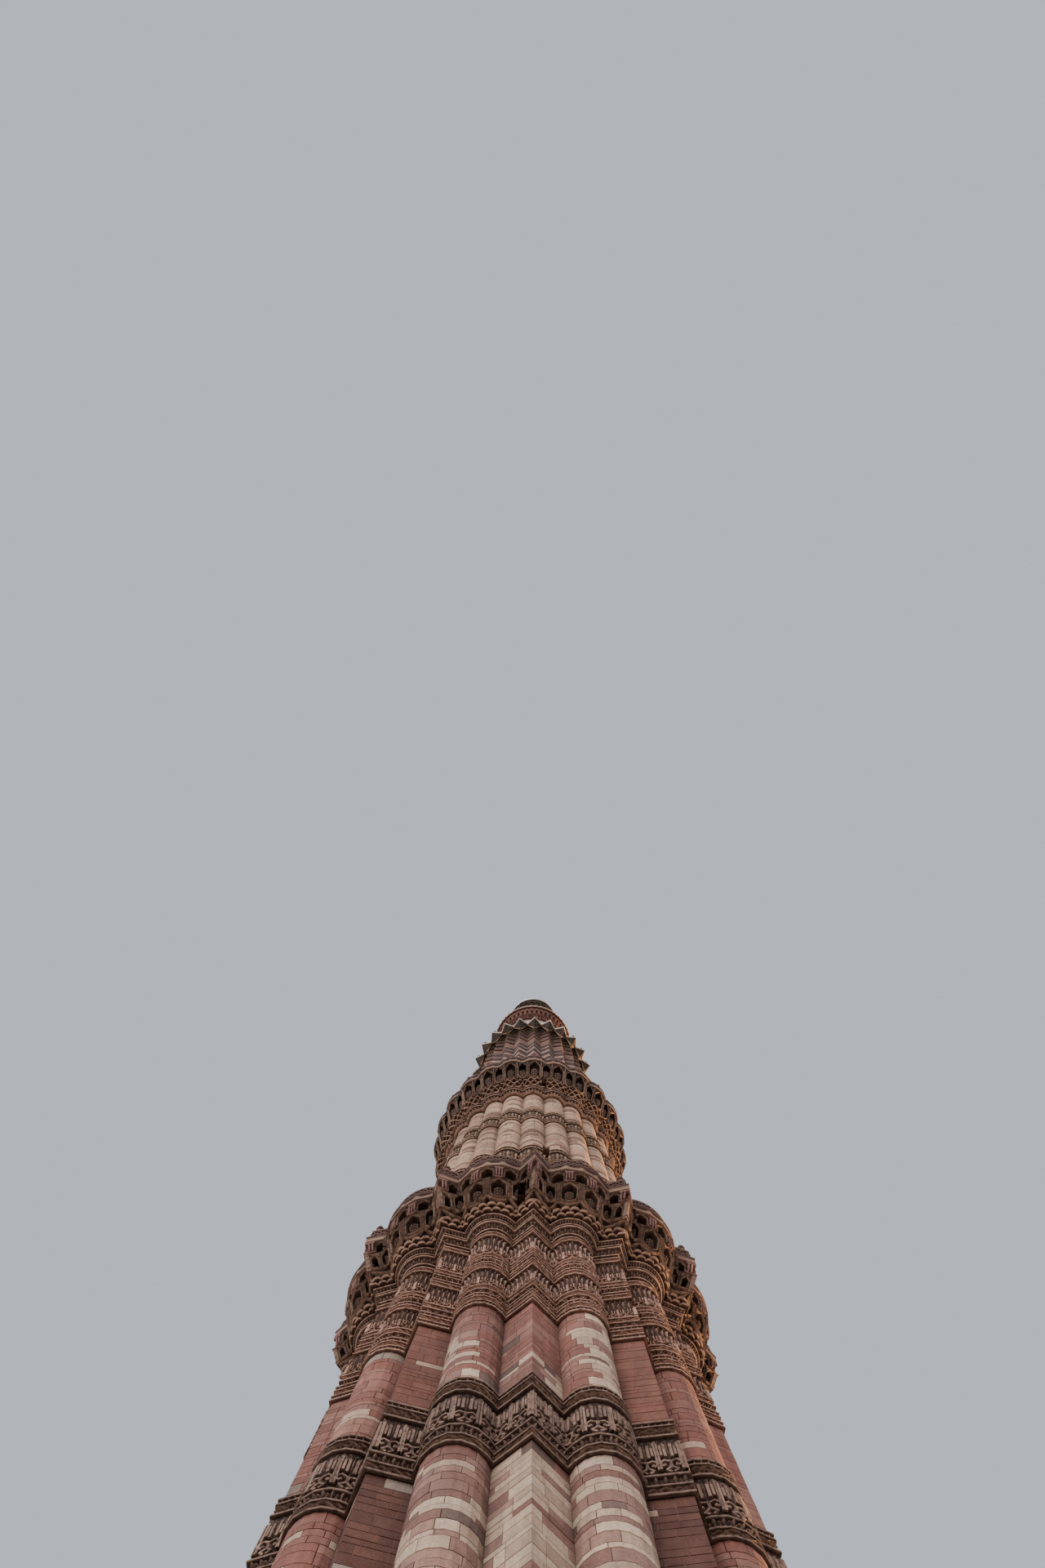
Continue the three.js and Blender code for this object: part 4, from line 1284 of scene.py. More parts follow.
block(tip, -0.23, 0.23, 28.63, 28.67, DEEP, 0.05, 0.8, PALE_ROLLS)
for board in valleys:
    block(board, -0.03, 0.085, 28.66, 29.15, DEEP, 0.0, 0.3)

# Weathered sandstone, drilled all over: the pockets are coloured darker than the stone round them.
# They are drawn 140 mm apart at full size, twice the real spacing, to show.
drilled_sandstone = stone_material(
    "drilled_sandstone", 0.88, 0.2, 0.16, 0.005, 0.07, pockets=0.4, relief=0.02
)
carving = lay(
    "balcony_1_corbel_carving", corbel, skin_corbel_1, drilled_sandstone,
    [n for n in nodes if n.startswith(("balcony_1_corbel", "balcony_1_slot"))], 2,
)


def inside(face, x, width, foot, head):
    middle = face.calc_center_median() / SIZE
    return middle.y < 0 and abs(middle.x - x) < width / 2 and foot < middle.z < head


def open_slot(piece, x, width, foot, head):
    """Cuts a slot window through a laid piece, at x across the front of the tower."""
    shape = bmesh.new()
    shape.from_mesh(piece.data)
    sides = [((x + side * width / 2, 0, 0), (1, 0, 0)) for side in (-1, 1)]
    for spot, way in (*sides, ((0, 0, foot), (0, 0, 1)), ((0, 0, head), (0, 0, 1))):
        near = [f for f in shape.faces if inside(f, x, width + 0.8, foot - 0.4, head + 0.4)]
        parts = list({p for f in near for p in (f, *f.edges, *f.verts)})
        plane = [c * SIZE for c in spot]
        bmesh.ops.bisect_plane(shape, geom=parts, plane_co=plane, plane_no=way)
    gone = [f for f in shape.faces if inside(f, x, width, foot, head)]
    bmesh.ops.delete(shape, geom=gone, context="FACES")
    shape.to_mesh(piece.data)
    shape.free()


def scaled(points):
    return [tuple(c * SIZE for c in p) for p in points]


def slot_lining(name, x, width, foot, head, fronts, back):
    """The four dressed sides of a slot window in a wall that the carving hides. fronts is how
    far out the wall's face is at the sill and at the head."""
    left, right = x - width / 2, x + width / 2
    sill, lintel = fronts
    ring = [(left, foot, sill), (right, foot, sill), (right, head, lintel), (left, head, lintel)]
    points = [(px, -out, pz) for px, pz, out in ring] + [(px, -back, pz) for px, pz, _ in ring]
    faces = [(i, i + 4, (i + 1) % 4 + 4, (i + 1) % 4) for i in range(4)]
    # The sides are painted darker towards the back as shade.
    colours = [(*linear(tone), 1) for tone in ["#6b5146"] * 4 + ["#3a2a24"] * 4]
    mesh = coloured_mesh(name, scaled(points), faces, colours)
    mesh.materials.append(carved_sandstone)
    hand_over(new_object(name, mesh))


SLOT_1 = (-0.36, 0.22, 27.75, 28.5)  # place across the front, width, sill and head
open_slot(carving, *SLOT_1)
slot_lining("balcony_1_slot_sides", *SLOT_1, (4.7, 4.98), 3.6)


# FIRST BALCONY'S CORNICE, FLOOR AND PARAPET. A double moulded edge of dark sandstone, paving laid
# on it, and low slabs sawn through in small triangles, held between posts with round caps.
RED_LINE = (linear("#21110d"), linear("#4a2f29"))
# Painted shade on the undersides and in the steps back, and a painted highlight on the faces.
edge = Flat("#261712", "#54423a", SPAN_1)
moulding(edge, [(29.14, -0.25, 0.0), (29.15, 0.0, 0.3), (29.17, 0.02, 0.8), (29.23, 0.02, 0.9)])
red_edge = [(29.23, 0.02, 0.3), (29.235, -0.05, 0.0), (29.29, -0.05, 0.0), (29.295, 0.015, 0.5)]
moulding(edge, red_edge, tone=RED_LINE)
moulding(edge, [
    red_edge[-1], (29.33, 0.03, 1.0), (29.37, 0.03, 1.0), (29.375, -0.02, 0.0),
    (29.41, -0.02, 0.0), (29.415, 0.02, 0.8), (29.46, 0.03, 1.0), (29.512, 0.02, 0.7),
    (29.514, -0.3, 0.5),
], tone=RED_LINE)
lay("balcony_1_cornice", edge, skin_corbel_1, dressed_sandstone, every=2)
dress(worn_paving, "balcony_1_floor")


def bar(board, start, end, width, back, front):
    """A straight closed bar of a pierced slab."""
    (s0, y0), (s1, y1) = start, end
    rs, ry = sideways(start, end, width)
    ring = [(s0 + rs, y0 + ry), (s1 + rs, y1 + ry), (s1 - rs, y1 - ry), (s0 - rs, y0 - ry)]
    points = [(s, y, z) for z in (back, front) for s, y in ring]
    faces = [(4, 5, 6, 7), (3, 2, 1, 0)]
    faces += [(i, (i + 1) % 4, 4 + (i + 1) % 4, 4 + i) for i in range(4)]
    # The back of each bar is painted darker as shade.
    board.add(points, faces, [0.49] * 4 + [0.7] * 4)


def parapet(number, skin, widths, steps, foot, top, back=-0.17, front=-0.05, rails=0.08):
    """Slabs of rails and a zigzag of bars, so that small triangles stay open between them.
    widths is half the width of each flute in turn at the parapet."""
    slabs = Flat("#38231d", "#694a40", (-0.5, len(widths) - 0.5, steps))
    low, high = foot + rails * 0.9, top - rails * 0.9
    middle = (low + high) / 2
    for y0, y1 in ((foot, foot + rails), (top - rails, top), (middle - 0.02, middle + 0.02)):
        # The rails are painted darker underneath as shade and lighter towards the top as a painted
        # highlight.
        rail = [(y0, back, 0.4), (y0, front, 0.6), (y1, front, 0.8), (y1, back, 0.7)]
        moulding(slabs, [*rail, rail[0]])
    boards = [pair for x, half in enumerate(widths) for pair in halves(slabs, x, half)]
    for board, length in boards:
        for y0, y1 in ((low, middle), (middle, high)):
            places, step = spots(length, (y1 - y0) * 1.1)
            for s in places:
                bar(board, (s - step / 2, y0), (s, y1), 0.035, back, front)
                bar(board, (s, y1), (s + step / 2, y0), 0.035, back, front)
    lay(
        f"balcony_{number}_parapet_slabs", slabs, skin, dressed_sandstone,
        [f"balcony_{number}_parapet"], len(widths),
    )
    bpy.data.objects.remove(skin[0])


FLOOR_2 = 29.5
parapet(1, skin_corbel_1, (0.7, 1.055), 32, FLOOR_2, 30.05, -0.2, -0.06, 0.09)


def turned(profile, sides):
    """Points and faces of a turned shape from (radius, height, shade) rows, in metres."""
    angles = [2 * math.pi * i / sides for i in range(sides)]
    points = [(r * math.cos(a), r * math.sin(a), y) for r, y, _ in profile for a in angles]
    faces = []
    for first in range(0, len(points) - sides, sides):
        for i in range(sides):
            a, b = first + i, first + (i + 1) % sides
            faces.append((a, b, b + sides, a + sides))
    faces.append(tuple(range(sides))[::-1])
    faces.append(tuple(len(points) - sides + i for i in range(sides)))
    return points, faces, [shade for _, _, shade in profile for _ in angles]


def standing_tree():
    """Geometry Nodes: stands a copy of a shape at every point of a ring, turned to face out."""
    tree, given = open_tree(
        "stand_in_ring", Geometry="Geometry", Shape="Object", Stone="Material"
    )
    shape = add(tree, "GeometryNodeObjectInfo", {"Object": given["Shape"]})
    position = add(tree, "GeometryNodeInputPosition")
    place = add(tree, "ShaderNodeSeparateXYZ", {0: position.outputs[0]}).outputs
    angle = add(tree, "ShaderNodeMath", {0: place["Y"], 1: place["X"]}, operation="ARCTAN2")
    turn = add(tree, "ShaderNodeCombineXYZ", {"Z": angle.outputs[0]})
    copies = {"Points": given["Geometry"], "Instance": shape.outputs["Geometry"]}
    copies["Rotation"] = turn.outputs[0]
    copies = add(tree, "GeometryNodeInstanceOnPoints", copies)
    real = add(tree, "GeometryNodeRealizeInstances", {"Geometry": copies.outputs["Instances"]})
    return close_tree(tree, real.outputs[0], given["Stone"])


STANDING = standing_tree()


def stand(name, profile, places, stone, tones, replaced=(), sides=8):
    """Turned pieces at places (x, y, z) in tower metres, made one mesh."""
    turning = Flat(*tones)
    turning.add(*turned(profile, sides))
    mesh = coloured_mesh(name + "_shape", scaled(turning.points), turning.faces, turning.colours)
    shape = new_object(name + "_shape", mesh)
    ring = bpy.data.meshes.new(name)
    ring.from_pydata(scaled(places), [], [])
    piece = run_tree(STANDING, ring, Shape=shape, Stone=stone)
    bpy.data.objects.remove(shape)
    return hand_over(piece, replaced)


def finials(number, profile, section, sizes, z, inset, sides=8):
    """Round caps on posts, one to a flute, inset from the edge of the floor."""
    places = []
    for px, py in section(np.arange(FLUTES, dtype=float), **sizes):
        kept = 1 - inset / math.hypot(px, py)
        places.append((px * kept, py * kept, z))
    tones = ("#33231d", "#8a6b5e")
    name = f"balcony_{number}_finials"
    stand(name, profile, places, carved_sandstone, tones, sides=sides)


FINIAL = [
    (0.11, 0, 1.0), (0.11, 0.12, 1.0), (0.08, 0.14, 0.8), (0.08, 0.62, 1.0), (0.12, 0.66, 1.0),
    (0.12, 0.7, 0.7), (0.06, 0.72, 0.1), (0.12, 0.8, 0.15), (0.13, 0.86, 0.2),
    (0.1, 0.96, 0.15), (0.03, 1.05, 0.1),
]
finials(1, FINIAL, mixed_flutes, rim_1, FLOOR_2, 0.3, sides=10)


# SECOND STOREY. 24 round flutes faced with cream sandstone in thin even courses, a few of them
# darker, laid in lime mortar, with two narrow carved bands. A slot window opens in the front.
def round_flutes(x, crown, lobe):
    centre = crown - lobe
    widest = PITCH / 2 + math.asin(centre * math.sin(PITCH / 2) / lobe)
    d = x - np.round(x)
    return on_ring(x, lobe * np.sin(2 * d * widest), centre + lobe * np.cos(2 * d * widest))


def storey_2(z):
    r = taper(z, 4.25, 3.73, FLOOR_2, 41.9)
    return (z, round_flutes, {"crown": r, "lobe": 0.1436 * r})


def half_round(crown, lobe):
    return lobe * (PITCH / 2 + math.asin((crown - lobe) * math.sin(PITCH / 2) / lobe))


def half_flute_2(flute, z):
    return half_round(**storey_2(z)[2])


def balcony_door(level, floor):
    """The doorway at the back of a balcony, as flute coordinates and heights."""
    _, section, sizes = level
    left = crossing(section, sizes, 0.42, BACK - 1, BACK)
    return (left, FLUTES - left, floor, floor + 1.92)


def even_breaks(rng, flute):
    count = rng.choice([1, 2, 2, 3])
    inner = [flute - 0.5 + (i + rng.uniform(-0.15, 0.15)) / count for i in range(1, count)]
    return [flute - 0.5, *inner, flute + 0.5]


BUFF = ["#b59680", "#ac8b75", "#bb9e87", "#a4826d", "#b1907a"]
DULL = ["#785a4b", "#836353", "#6b5144"]
MIXES["buff"] = (BUFF, 0.9, DULL, 0.1, DULL, 0.06)
MIXES["dull"] = (BUFF, 0.12, DULL, 0.88, DULL, 0.06)


def striped(rng, low, high, pitch):
    """Every few courses one is darker: returns the choice by height."""
    lines = []
    y = low + rng.uniform(0.3, 0.8)
    while y < high:
        lines.append(y)
        y += rng.uniform(pitch * 0.5, pitch * 1.5)
    return lambda x, y: "dull" if any(abs(y - line) < 0.07 for line in lines) else "buff"


def boards_2(flat, z):
    return halves(flat, 0, half_flute_2(0, z))


FRONT_SLOT = (0.5, 0.24, 34.4, 35.5)
dress(lime_mortar, *("storey_2_wall_" + side for side in QUARTERS))
skin_2 = make_skin("skin_storey_2", [storey_2(z) for z in np.linspace(29.3, 42.1, 12)])
left, right = (
    crossing(round_flutes, storey_2(35.0)[2], FRONT_SLOT[0] + side * 0.13, 0.0, 0.9)
    for side in (-1, 1)
)
openings_2 = [(left, right, *FRONT_SLOT[2:]), balcony_door(storey_2(30.5), FLOOR_2)]
for number, (low, high) in enumerate([(29.52, 33.6), (35.0, 38.35), (39.6, 41.88)], 1):
    rng = random.Random(200 + number)
    facing = Flat()
    face_wall(
        facing, rng, low, high, even_breaks, half_flute_2, striped(rng, low, high, 1.1), (8, 8),
        openings_2, course=(0.2, 0.32),
    )
    lay(f"storey_2_facing_{number}", facing, skin_2, dressed_sandstone)


def row_of_lancets(flat, boards, y0, y1, z):
    """Tall lancet leaves with buds between them, bold enough to be read high up."""
    high = y1 - y0
    for board, _, s, step in along(boards, 0.29):
        ends = (s, y0 + 0.03 * high), (s, y0 + 0.97 * high)
        leaf(board, *ends, step * 0.55, 0.015, z * 1.2, fat=0.6)
        for way in (-0.5 * step, 0.5 * step):
            bud = s + way
            stud(board, bud, y0 + 0.2 * high, step * 0.2, 0.13 * high, 0.015, z, sides=6)
            ends = (bud, y0 + 0.4 * high), (s + way * 0.7, y0 + 0.9 * high)
            leaf(board, *ends, step * 0.25, 0.015, z)


LOWER_2 = [
    (fillet, 0.07), (row_of_braid, 0.18), (fillet, 0.05), (row_of_lancets, 0.78), (fillet, 0.06),
    (row_of_studs, 0.18), (fillet, 0.07),
]
MIDDLE_2 = [
    (fillet, 0.07), (row_of_studs, 0.15), (fillet, 0.05), (row_of_lancets, 0.7), (fillet, 0.05),
    (row_of_studs, 0.15), (fillet, 0.07),
]
for name, low, high, rows in (("lower", 33.6, 35.0, LOWER_2), ("middle", 38.35, 39.6, MIDDLE_2)):
    tones = ("#21140f", "#a58873")
    clasp = band(f"storey_2_band_{name}", skin_2, low, high, rows, boards_2, 1, 0.07, tones)
    if name == "lower":
        open_slot(clasp, *FRONT_SLOT)
bpy.data.objects.remove(skin_2[0])


# SECOND BALCONY. Courses of carved sandstone built out one over another: rings with a dark stud
# under every flute, three tiers of teeth, and a large cusped niche to each flute and each valley.
REACH_2 = [
    (41.7, 0.0), (41.9, 0.02), (41.91, 0.12), (42.11, 0.22), (42.4, 0.26), (43.15, 0.58),
    (43.6, 0.7), (44.5, 0.92), (44.95, 1.0), (46.0, 1.0),
]
skin_corbel_2, rim_2 = corbel_skin(
    "skin_corbel_2", round_flutes, {"crown": (3.73, 4.6), "lobe": (0.5356, 0.95)}, REACH_2
)
SPAN_2 = (-0.5, 0.5, 16)
LOBE_2 = half_round(4.35, 0.83)
corbel = Flat(*CORBEL_TONES, SPAN_2)
# The rings' steps back are painted dark as shade and their faces carry a painted highlight.
moulding(corbel, [
    (41.89, -0.04, 0), (41.9, 0.04, 0.6), (41.95, 0.06, 2.0), (41.96, -0.05, 0.0),
    (42.12, -0.05, 0.0), (42.13, 0.07, 0.6), (42.19, 0.07, 2.0), (42.2, -0.06, 0.0),
    (42.32, -0.06, 0.0), (42.33, 0.07, 0.6), (42.38, 0.07, 2.0), (42.39, -0.06, 0.0),
    (42.4, -0.06, 0.0), (43.0, -0.02, 0.3), (43.01, DEEP, 0.0),
])
crown_2 = Board(corbel, 0, LOBE_2)
stud(crown_2, 0, 42.2, 0.1, 0.1, 0.0, 0.1, shade=0.1)
for half_lobe in halves(corbel, 0, LOBE_2):
    row_of_beads(corbel, [half_lobe], 41.96, 42.11, 0.05)
    row_of_beads(corbel, [half_lobe], 42.21, 42.32, 0.03)
moulding(corbel, [(43.0, DEEP, 0.0), (44.52, DEEP, 0.0)])
valley_2 = Board(corbel, 0.5, LOBE_2, bridge=(0.1, 0.27))
for tier in range(3):
    toothed(crown_2, LOBE_2, 42.42 + 0.2 * tier, 0.05, 0.14, 4, shift=tier % 2)
niche(crown_2, 0, 43.02, 44.46, 0.54, 0.63, back=-0.25, basket=0.5, face=0.1)
niche(valley_2, 0, 43.02, 44.46, 0.46, 0.56, back=-0.22, basket=0.5, face=0.1)
for s in (-0.315, 0.315):
    strap(crown_2, [(s, 43.0), (s, 44.46)], 0.05, 0.0, 0.06, tone=RIM)
carving = lay(
    "balcony_2_corbel_carving", corbel, skin_corbel_2, drilled_sandstone,
    ["balcony_2_corbel"], 1,
)
SLOT_2 = (0.46, 0.2, 42.6, 43.2)
open_slot(carving, *SLOT_2)
slot_lining("balcony_2_slot_sides", *SLOT_2, (3.9, 4.1), 2.9)

# Painted shade on the undersides and in the steps back, and a painted highlight on the faces.
edge = Flat("#2a1914", "#66524a", SPAN_2)
moulding(edge, [
    (44.44, -0.2, 0), (44.46, 0.0, 0.3), (44.5, 0.03, 1.0), (44.55, 0.03, 1.0),
    (44.56, -0.05, 0.0), (44.68, -0.05, 0.0), (44.69, 0.01, 0.5), (44.74, 0.03, 0.7),
    (44.8, 0.03, 0.7), (44.81, -0.02, 0.0), (44.86, -0.02, 0.0), (44.87, 0.03, 0.7),
    (44.955, 0.02, 0.5), (44.956, -0.3, 0.4),
], tone=RED_LINE)
lay("balcony_2_cornice", edge, skin_corbel_2, dressed_sandstone, every=1)
dress(worn_paving, "balcony_2_floor")
FLOOR_3 = 44.95
parapet(2, skin_corbel_2, (half_round(**rim_2),), 16, FLOOR_3, 45.4)
SMALL_FINIAL = [(r * 0.72, y * 0.75, shade) for r, y, shade in FINIAL]
finials(2, SMALL_FINIAL, round_flutes, rim_2, FLOOR_3, 0.12)


# THIRD STOREY. 24 wedge flutes of pinkish cream sandstone with dark red courses, and at the top
# three carved courses that run as chevrons over the arrises, all laid in lime mortar.
def star_flutes(x, tip, valley):
    d = x - np.round(x)
    side = 2 * d * valley * math.sin(PITCH / 2)
    return on_ring(x, side, tip + 2 * abs(d) * (valley * math.cos(PITCH / 2) - tip))


def storey_3(z):
    r = taper(z, 3.5, 3.12, FLOOR_3, 56.2)
    return (z, star_flutes, {"tip": r, "valley": 0.909 * r})


def half_star(tip, valley):
    return math.hypot(valley * math.sin(PITCH / 2), tip - valley * math.cos(PITCH / 2))


def half_flute_3(flute, z):
    return half_star(**storey_3(z)[2])


def star_breaks(rng, flute):
    return [flute - 0.5, flute + rng.choice([-0.25, 0.0, 0.22]), flute + 0.5]


def mix_on_storey_3(x, y):
    return "dark red" if any(abs(y - line) < half for line, half in RED_LINES_3) else "rose"


MIXES["rose"] = (["#b0907f", "#a58474", "#b59888", "#9b7a6c"], 0.92, DULL, 0.08, DULL, 0.06)
MIXES["dark red"] = (["#3c211b", "#442721"], 1.0, DULL, 0.0, DULL, 0.06)
RED_LINES_3 = (  # height and half thickness
    (46.2, 0.19), (47.6, 0.19), (48.9, 0.19), (50.1, 0.22), (51.2, 0.28), (52.2, 0.32),
    (53.0, 0.34),
)
dress(lime_mortar, "storey_3_wall")
skin_3 = make_skin("skin_storey_3", [storey_3(z) for z in np.linspace(44.8, 56.4, 8)])
facing = Flat()
face_wall(
    facing, random.Random(300), 44.97, 53.45, star_breaks, half_flute_3, mix_on_storey_3, (2, 2),
    [balcony_door(storey_3(46.0), FLOOR_3)], course=(0.2, 0.28),
)
lay("storey_3_facing", facing, skin_3, dressed_sandstone)
chevrons = Flat("#26130f", "#967466", (-0.5, 0.5, 4))
# The chevron rows are painted darker towards the top, a painted shadow under the balcony's
# brackets; in each row the proud edge is lighter and the step under it painted dark as shade.
profile = [(53.44, 0.0, 0.0)]
for i, shade in enumerate((0.5, 0.26, 0.14)):
    y = 53.46 + 0.91 * i
    profile += [(y, 0.03, shade), (y + 0.42, 0.07, shade * 1.3)]
    profile += [(y + 0.44, 0.0, 0.0), (y + 0.9, 0.0, 0.05)]
moulding(chevrons, profile)
lay("storey_3_chevrons", chevrons, skin_3, carved_sandstone, every=1)
bpy.data.objects.remove(skin_3[0])


# THIRD BALCONY. A star of kite-shaped sandstone brackets, one built out over each wedge, with
# dark lozenges between them, under a white marble edge and a parapet with a small cap per point.
REACH_3 = [(56.0, 0.0), (56.2, 0.05), (56.6, 0.4), (57.02, 0.9), (57.2, 1.0), (58.0, 1.0)]
skin_corbel_3, rim_3 = corbel_skin(
    "skin_corbel_3", star_flutes, {"tip": (3.12, 3.62), "valley": (2.836, 3.24)}, REACH_3
)
HALF_3 = half_star(3.4, 3.05)
SPAN_3 = (-0.5, 0.5, 8)
corbel = Flat("#1c130f", "#74604f", SPAN_3)
# The wall behind the kites is painted dark as shade, and the rings' faces carry a painted
# highlight.
moulding(corbel, [
    (56.18, -0.04, 0), (56.2, 0.03, 0.5), (56.25, 0.05, 0.9), (56.26, -0.06, 0),
    (57.0, -0.06, 0), (57.01, 0.03, 0.5), (57.04, 0.05, 1.0),
])
# Each kite's face, which looks down, is painted dark as shade, and the cord along its outer edge
# carries a painted highlight.
for kite, _ in halves(corbel, 0, HALF_3):
    corners = [(0, 56.27), (HALF_3 * 0.94, 56.95), (0, 57.08)]
    points = [(s, y, z) for z in (0.07, -0.06) for s, y in corners]
    kite.add(points, [(0, 1, 2), (3, 4, 1, 0)], [0.12, 0.05, 0.12, 0.0, 0.0, 0.0])
    strap(kite, corners[:2], 0.06, 0.06, 0.1, shade=1.7)
    for y in (56.6, 56.8):
        stud(kite, 0.13, y, 0.06, 0.06, 0.07, 0.1, shade=1.1)
    strap(kite, [(0.05, 56.24), (HALF_3, 56.85)], 0.05, -0.05, 0.0, shade=0.8)
stud(Board(corbel, 0.5, HALF_3), 0, 56.45, 0.2, 0.26, -0.05, 0.12, shade=0.3)
lay(
    "balcony_3_corbel_carving", corbel, skin_corbel_3, carved_sandstone,
    ["balcony_3_corbel"], 1,
)
# White marble, dressed and rubbed, yellowed by age: slightly glossy with grey veins.
white_marble = stone_material("white_marble", 0.55, 0.12, 0.2, 0.02, 0.2, gloss=0.25)
# Painted shade on the undersides and in the steps back, and a painted highlight on the faces.
edge = Flat("#7d6a5c", "#cdbfb1", SPAN_3)
moulding(edge, [
    (57.1, -0.1, 0), (57.11, 0.06, 0.6), (57.15, 0.07, 1.0), (57.195, 0.07, 1.0),
    (57.2, 0.03, 0.8), (57.206, -0.3, 0.6),
])
lay("balcony_3_cornice", edge, skin_corbel_3, white_marble, every=1)
dress(worn_paving, "balcony_3_floor")
FLOOR_4 = 57.2
parapet(3, skin_corbel_3, (half_star(**rim_3),), 8, FLOOR_4, 57.65)
finials(3, SMALL_FINIAL, star_flutes, rim_3, FLOOR_4, 0.14)


# FOURTH STOREY AND BALCONY. A plain drum of white marble blocks with thin red lines, and over it
# a zone of dark red sandstone slabs carved with arches, which flares out under the balcony.
def storey_4(z):
    return (z, plain_drum, {"radius": taper(z, 2.62, 2.35, FLOOR_4, 63.6)})


def drum_breaks(rng, flute):
    if flute % 2:
        return [flute - 0.5, flute + rng.choice([-0.2, 0, 0.2]), flute + 0.5]
    return [flute - 0.5, flute + 0.5]


def drum_facing(name, skin, seed, lines, radius, course, door):
    """Marble blocks with a thin red line wherever two of the marble's stretches meet. lines is
    the foot, the lines' edges and the top, from below."""
    facing = Flat()
    facing.valley_darkening = 0
    rng = random.Random(seed)
    for number, (low, high) in enumerate(zip(lines, lines[1:])):
        mix, tall = ("line", (0.09, 0.11)) if number % 2 else ("marble", course)
        face_wall(
            facing, rng, low, high, drum_breaks, lambda flute, z: radius * PITCH / 2,
            lambda x, y: mix, (2, 2), [door], course=tall,
        )
    lay(name, facing, skin, white_marble)
    bpy.data.objects.remove(skin[0])


MIXES["marble"] = (["#d8cdc2", "#cfc3b6", "#dcd3c9", "#c9bcae"], 1.0, DULL, 0.0, DULL, 0.05)
MIXES["line"] = (["#6b3f35", "#5f3a31"], 1.0, DULL, 0.0, DULL, 0.05)
dress(lime_mortar, "storey_4_marble_drum")
skin_4 = make_skin("skin_storey_4", [storey_4(z) for z in np.linspace(57.0, 63.8, 4)])
lines_4 = [line + side for line in (57.9, 58.8, 59.7, 60.6, 61.5) for side in (-0.05, 0.05)]
drum_facing(
    "storey_4_marble_facing", skin_4, 400, [57.22, *lines_4, 61.75, 62.28], 2.5, (0.34, 0.44),
    balcony_door(storey_4(58.2), FLOOR_4),
)

# Dark red sandstone, carved and long weathered: matt. Its hollows are nearly black, from painted
# shade along with real dirt in the carving's colour.
red_sandstone = stone_material("red_sandstone", 0.87, 0.2, 0.2, 0.005, 0.014)


def row_of_recesses(flat, boards, y0, y1, z):
    """A plate cut by cusped recesses with a bud in each, bold enough to be read high up."""
    foot, spring = y0 + 0.1 * (y1 - y0), y0 + 0.6 * (y1 - y0)
    for board, _, s, step in along(boards, 0.4):
        opening = cusped(s, foot, spring, y1 - 0.08 * (y1 - y0), 0.56 * step)
        surround(board, opening, boxed(s, foot, spring, y1, step), z, 0.0, 0.85)
        leaf(board, (s, foot), (s, spring + 0.05), 0.14, 0.015, z)
        for way in (-1, 1):
            stud(board, s + way * 0.41 * step, y1 - 0.12, 0.05, 0.05, z, z + 0.04)


def red_band(name, skin, low, high, rows, radius, replaced, tone):
    flat = Flat(*tone, (-0.5, 0.5, 4))
    # The plate behind the carving is painted dark as shade.
    plate = [(low + i * (high - low) / 12, 0.01, 0.05) for i in range(13)]
    half = radius * PITCH / 2
    carve(flat, low, high, rows, lambda flat, z: [(Board(flat, -0.5, half), 2 * half)], 0.08, plate)
    lay(name, flat, skin, red_sandstone, replaced, 1)


REACH_4 = [(63.6, 0.05), (64.2, 0.25), (64.7, 0.6), (65.05, 0.94), (65.2, 1.0), (66, 1.0)]
skin_flare, _ = corbel_skin(
    "skin_flare", plain_drum, {"radius": (2.35, 2.6)}, REACH_4, [storey_4(62.1), storey_4(63.5)]
)
FLARE_ROWS = [
    (fillet, 0.12), (bold_arches, 0.75), (fillet, 0.1), (row_of_studs, 0.25), (fillet, 0.1),
    (row_of_recesses, 0.9), (fillet, 0.1), (row_of_studs, 0.28), (fillet, 0.1),
]
red_band(
    "storey_4_flare_carving", skin_flare, 62.3, 65.05, FLARE_ROWS, 2.4,
    ["storey_4_upper_drum", "balcony_4_corbel"], ("#1c0f0b", "#754c3f"),
)
# Painted shade on the undersides and in the steps back, and a painted highlight on the faces.
edge = Flat("#7d6a5c", "#c9b6a6", (-0.5, 0.5, 4))
moulding(edge, [
    (65.04, -0.1, 0), (65.05, 0.05, 0.8), (65.1, 0.08, 1.0), (65.18, 0.08, 1.0),
    (65.205, 0.05, 0.9), (65.206, -0.3, 0.6),
])
RIM_4 = 0.34  # half a flute's width at the edge
for s in (-0.25, 0.25):
    stud(Board(edge, s, RIM_4), 0, 65.12, 0.08, 0.06, 0.06, 0.13, sides=6)
lay("balcony_4_cornice", edge, skin_flare, dressed_sandstone, every=1)
dress(worn_paving, "balcony_4_floor")
FLOOR_5 = 65.2
parapet(4, skin_flare, (RIM_4,), 4, FLOOR_5, 65.65)


# FIFTH STOREY. A short drum of white marble blocks with thin red lines, and on it a cornice of
# dark carved sandstone that flares out to the round platform at the top.
def storey_5(z):
    return (z, plain_drum, {"radius": taper(z, 1.85, 1.45, FLOOR_5, 70.3)})


dress(lime_mortar, "storey_5_drum")
skin_5 = make_skin("skin_storey_5", [storey_5(z) for z in np.linspace(65.0, 70.5, 4)])
drum_facing(
    "storey_5_facing", skin_5, 500,
    [65.22, 66.0, 66.1, 67.0, 67.1, 68.0, 68.1, 69.0, 69.1, 70.28], 1.65, (0.28, 0.36),
    balcony_door(storey_5(66.2), FLOOR_5),
)

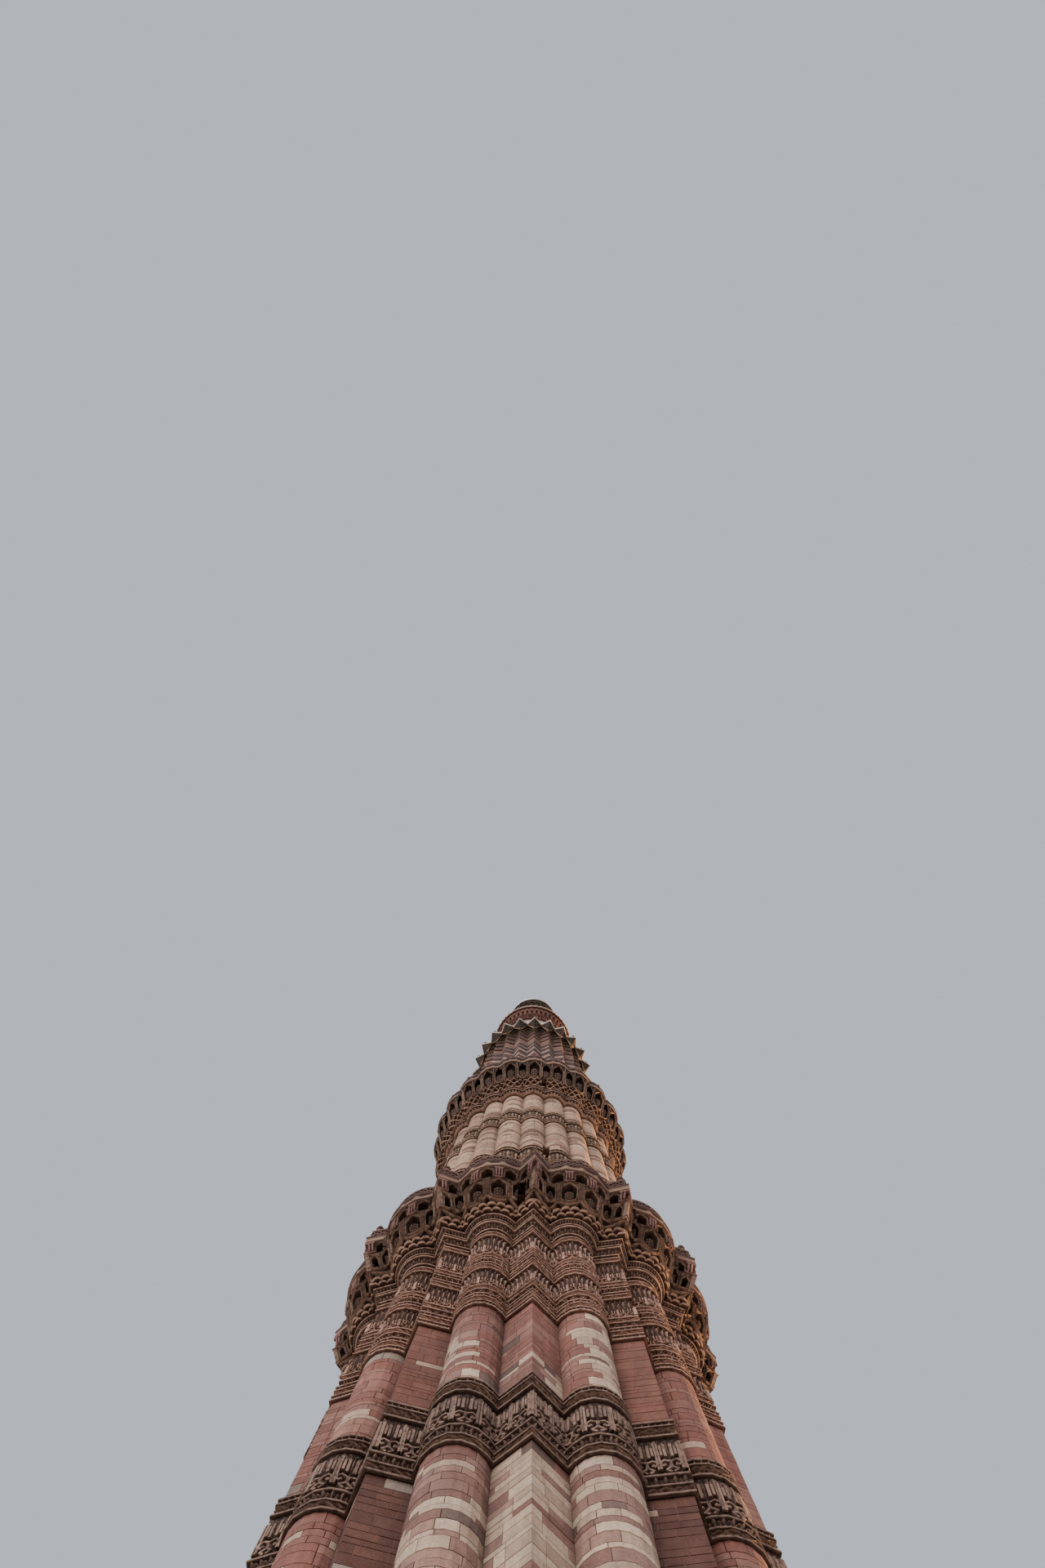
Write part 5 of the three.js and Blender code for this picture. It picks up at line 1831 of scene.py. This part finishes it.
TOP_REACH = [(70.3, 0.05), (70.9, 0.35), (71.3, 0.75), (71.6, 0.95), (71.75, 1.0), (72.0, 1.0)]
skin_top, _ = corbel_skin(
    "skin_top", plain_drum, {"radius": (1.45, 1.72)}, TOP_REACH, [storey_5(70.1)]
)
TOP_ROWS = [
    (fillet, 0.08), (bold_arches, 0.6), (fillet, 0.07), (row_of_studs, 0.24), (fillet, 0.07),
]
DARK_TONES = ("#15100d", "#58463b")
red_band("top_cornice_carving", skin_top, 70.3, 71.6, TOP_ROWS, 1.55, ["top_corbel"], DARK_TONES)
# Painted shade on the undersides and in the steps back, and a painted highlight on the faces.
edge = Flat(*DARK_TONES, (-0.5, 0.5, 4))
moulding(edge, [
    (71.59, -0.1, 0), (71.6, 0.03, 0.7), (71.66, 0.05, 1.0), (71.72, 0.05, 1.0),
    (71.755, 0.03, 0.8), (71.756, -0.2, 0.6),
])
lay("top_platform_edge", edge, skin_top, red_sandstone, every=1)
bpy.data.objects.remove(skin_top[0])
dress(worn_paving, "top_platform")


# RAIL ROUND THE TOP. Two hoops of galvanised steel tube, bent round and welded to eight upright
# tubes whose foot plates are bolted to the platform.
# Steel, dipped in molten zinc: bright grey with a faint pattern of flakes.
galvanised = bpy.data.materials.new("galvanised_steel")
galvanised.use_nodes = True
tree = galvanised.node_tree
shader = tree.nodes["Principled BSDF"]
shader.inputs["Metallic"].default_value = 1.0
coords = add(tree, "ShaderNodeTexCoord").outputs["Object"]
flakes = add(tree, "ShaderNodeTexVoronoi", {"Vector": coords, "Scale": 60}).outputs["Distance"]
tone = add(tree, "ShaderNodeMapRange", {"Value": flakes, 3: 0.62, 4: 0.8}).outputs[0]
grey = add(tree, "ShaderNodeCombineXYZ", {0: tone, 1: tone, 2: tone})
tree.links.new(grey.outputs[0], shader.inputs["Base Color"])
dull = add(tree, "ShaderNodeMapRange", {"Value": flakes, 3: 0.32, 4: 0.5})
tree.links.new(dull.outputs[0], shader.inputs["Roughness"])
RAIL_RADIUS, PLATFORM = 1.66, 71.755


def hoop(name, z, thick):
    """A tube bent to a ring; returns its mesh."""
    count = 48
    curve = bpy.data.curves.new(name, "CURVE")
    curve.dimensions = "3D"
    curve.bevel_depth = thick * SIZE
    curve.bevel_resolution = 2
    spline = curve.splines.new("POLY")
    spline.points.add(count - 1)
    for i, point in enumerate(spline.points):
        a = 2 * math.pi * i / count
        x, y = RAIL_RADIUS * math.cos(a) * SIZE, RAIL_RADIUS * math.sin(a) * SIZE
        point.co = (x, y, z * SIZE, 1)
    spline.use_cyclic_u = True
    bent = new_object(name, curve)
    graph = bpy.context.evaluated_depsgraph_get()
    mesh = bpy.data.meshes.new_from_object(bent.evaluated_get(graph))
    bpy.data.objects.remove(bent)
    return mesh


for number, z in enumerate((72.15, 72.515)):
    mesh = hoop(f"hoop_{number}", z, 0.035)
    mesh.materials.clear()
    mesh.materials.append(galvanised)
    hand_over(new_object(f"top_rail_hoop_{number}", mesh))
places = []
for i in range(8):
    a = i * math.pi / 4
    places.append((RAIL_RADIUS * math.cos(a), RAIL_RADIUS * math.sin(a), PLATFORM))
stand(
    "top_rail_posts", [(0.05, 0, 1), (0.05, 0.02, 1), (0.028, 0.03, 1), (0.028, 0.76, 1)],
    places, galvanised, ("#888888", "#999999"), ["top_rail"],
)
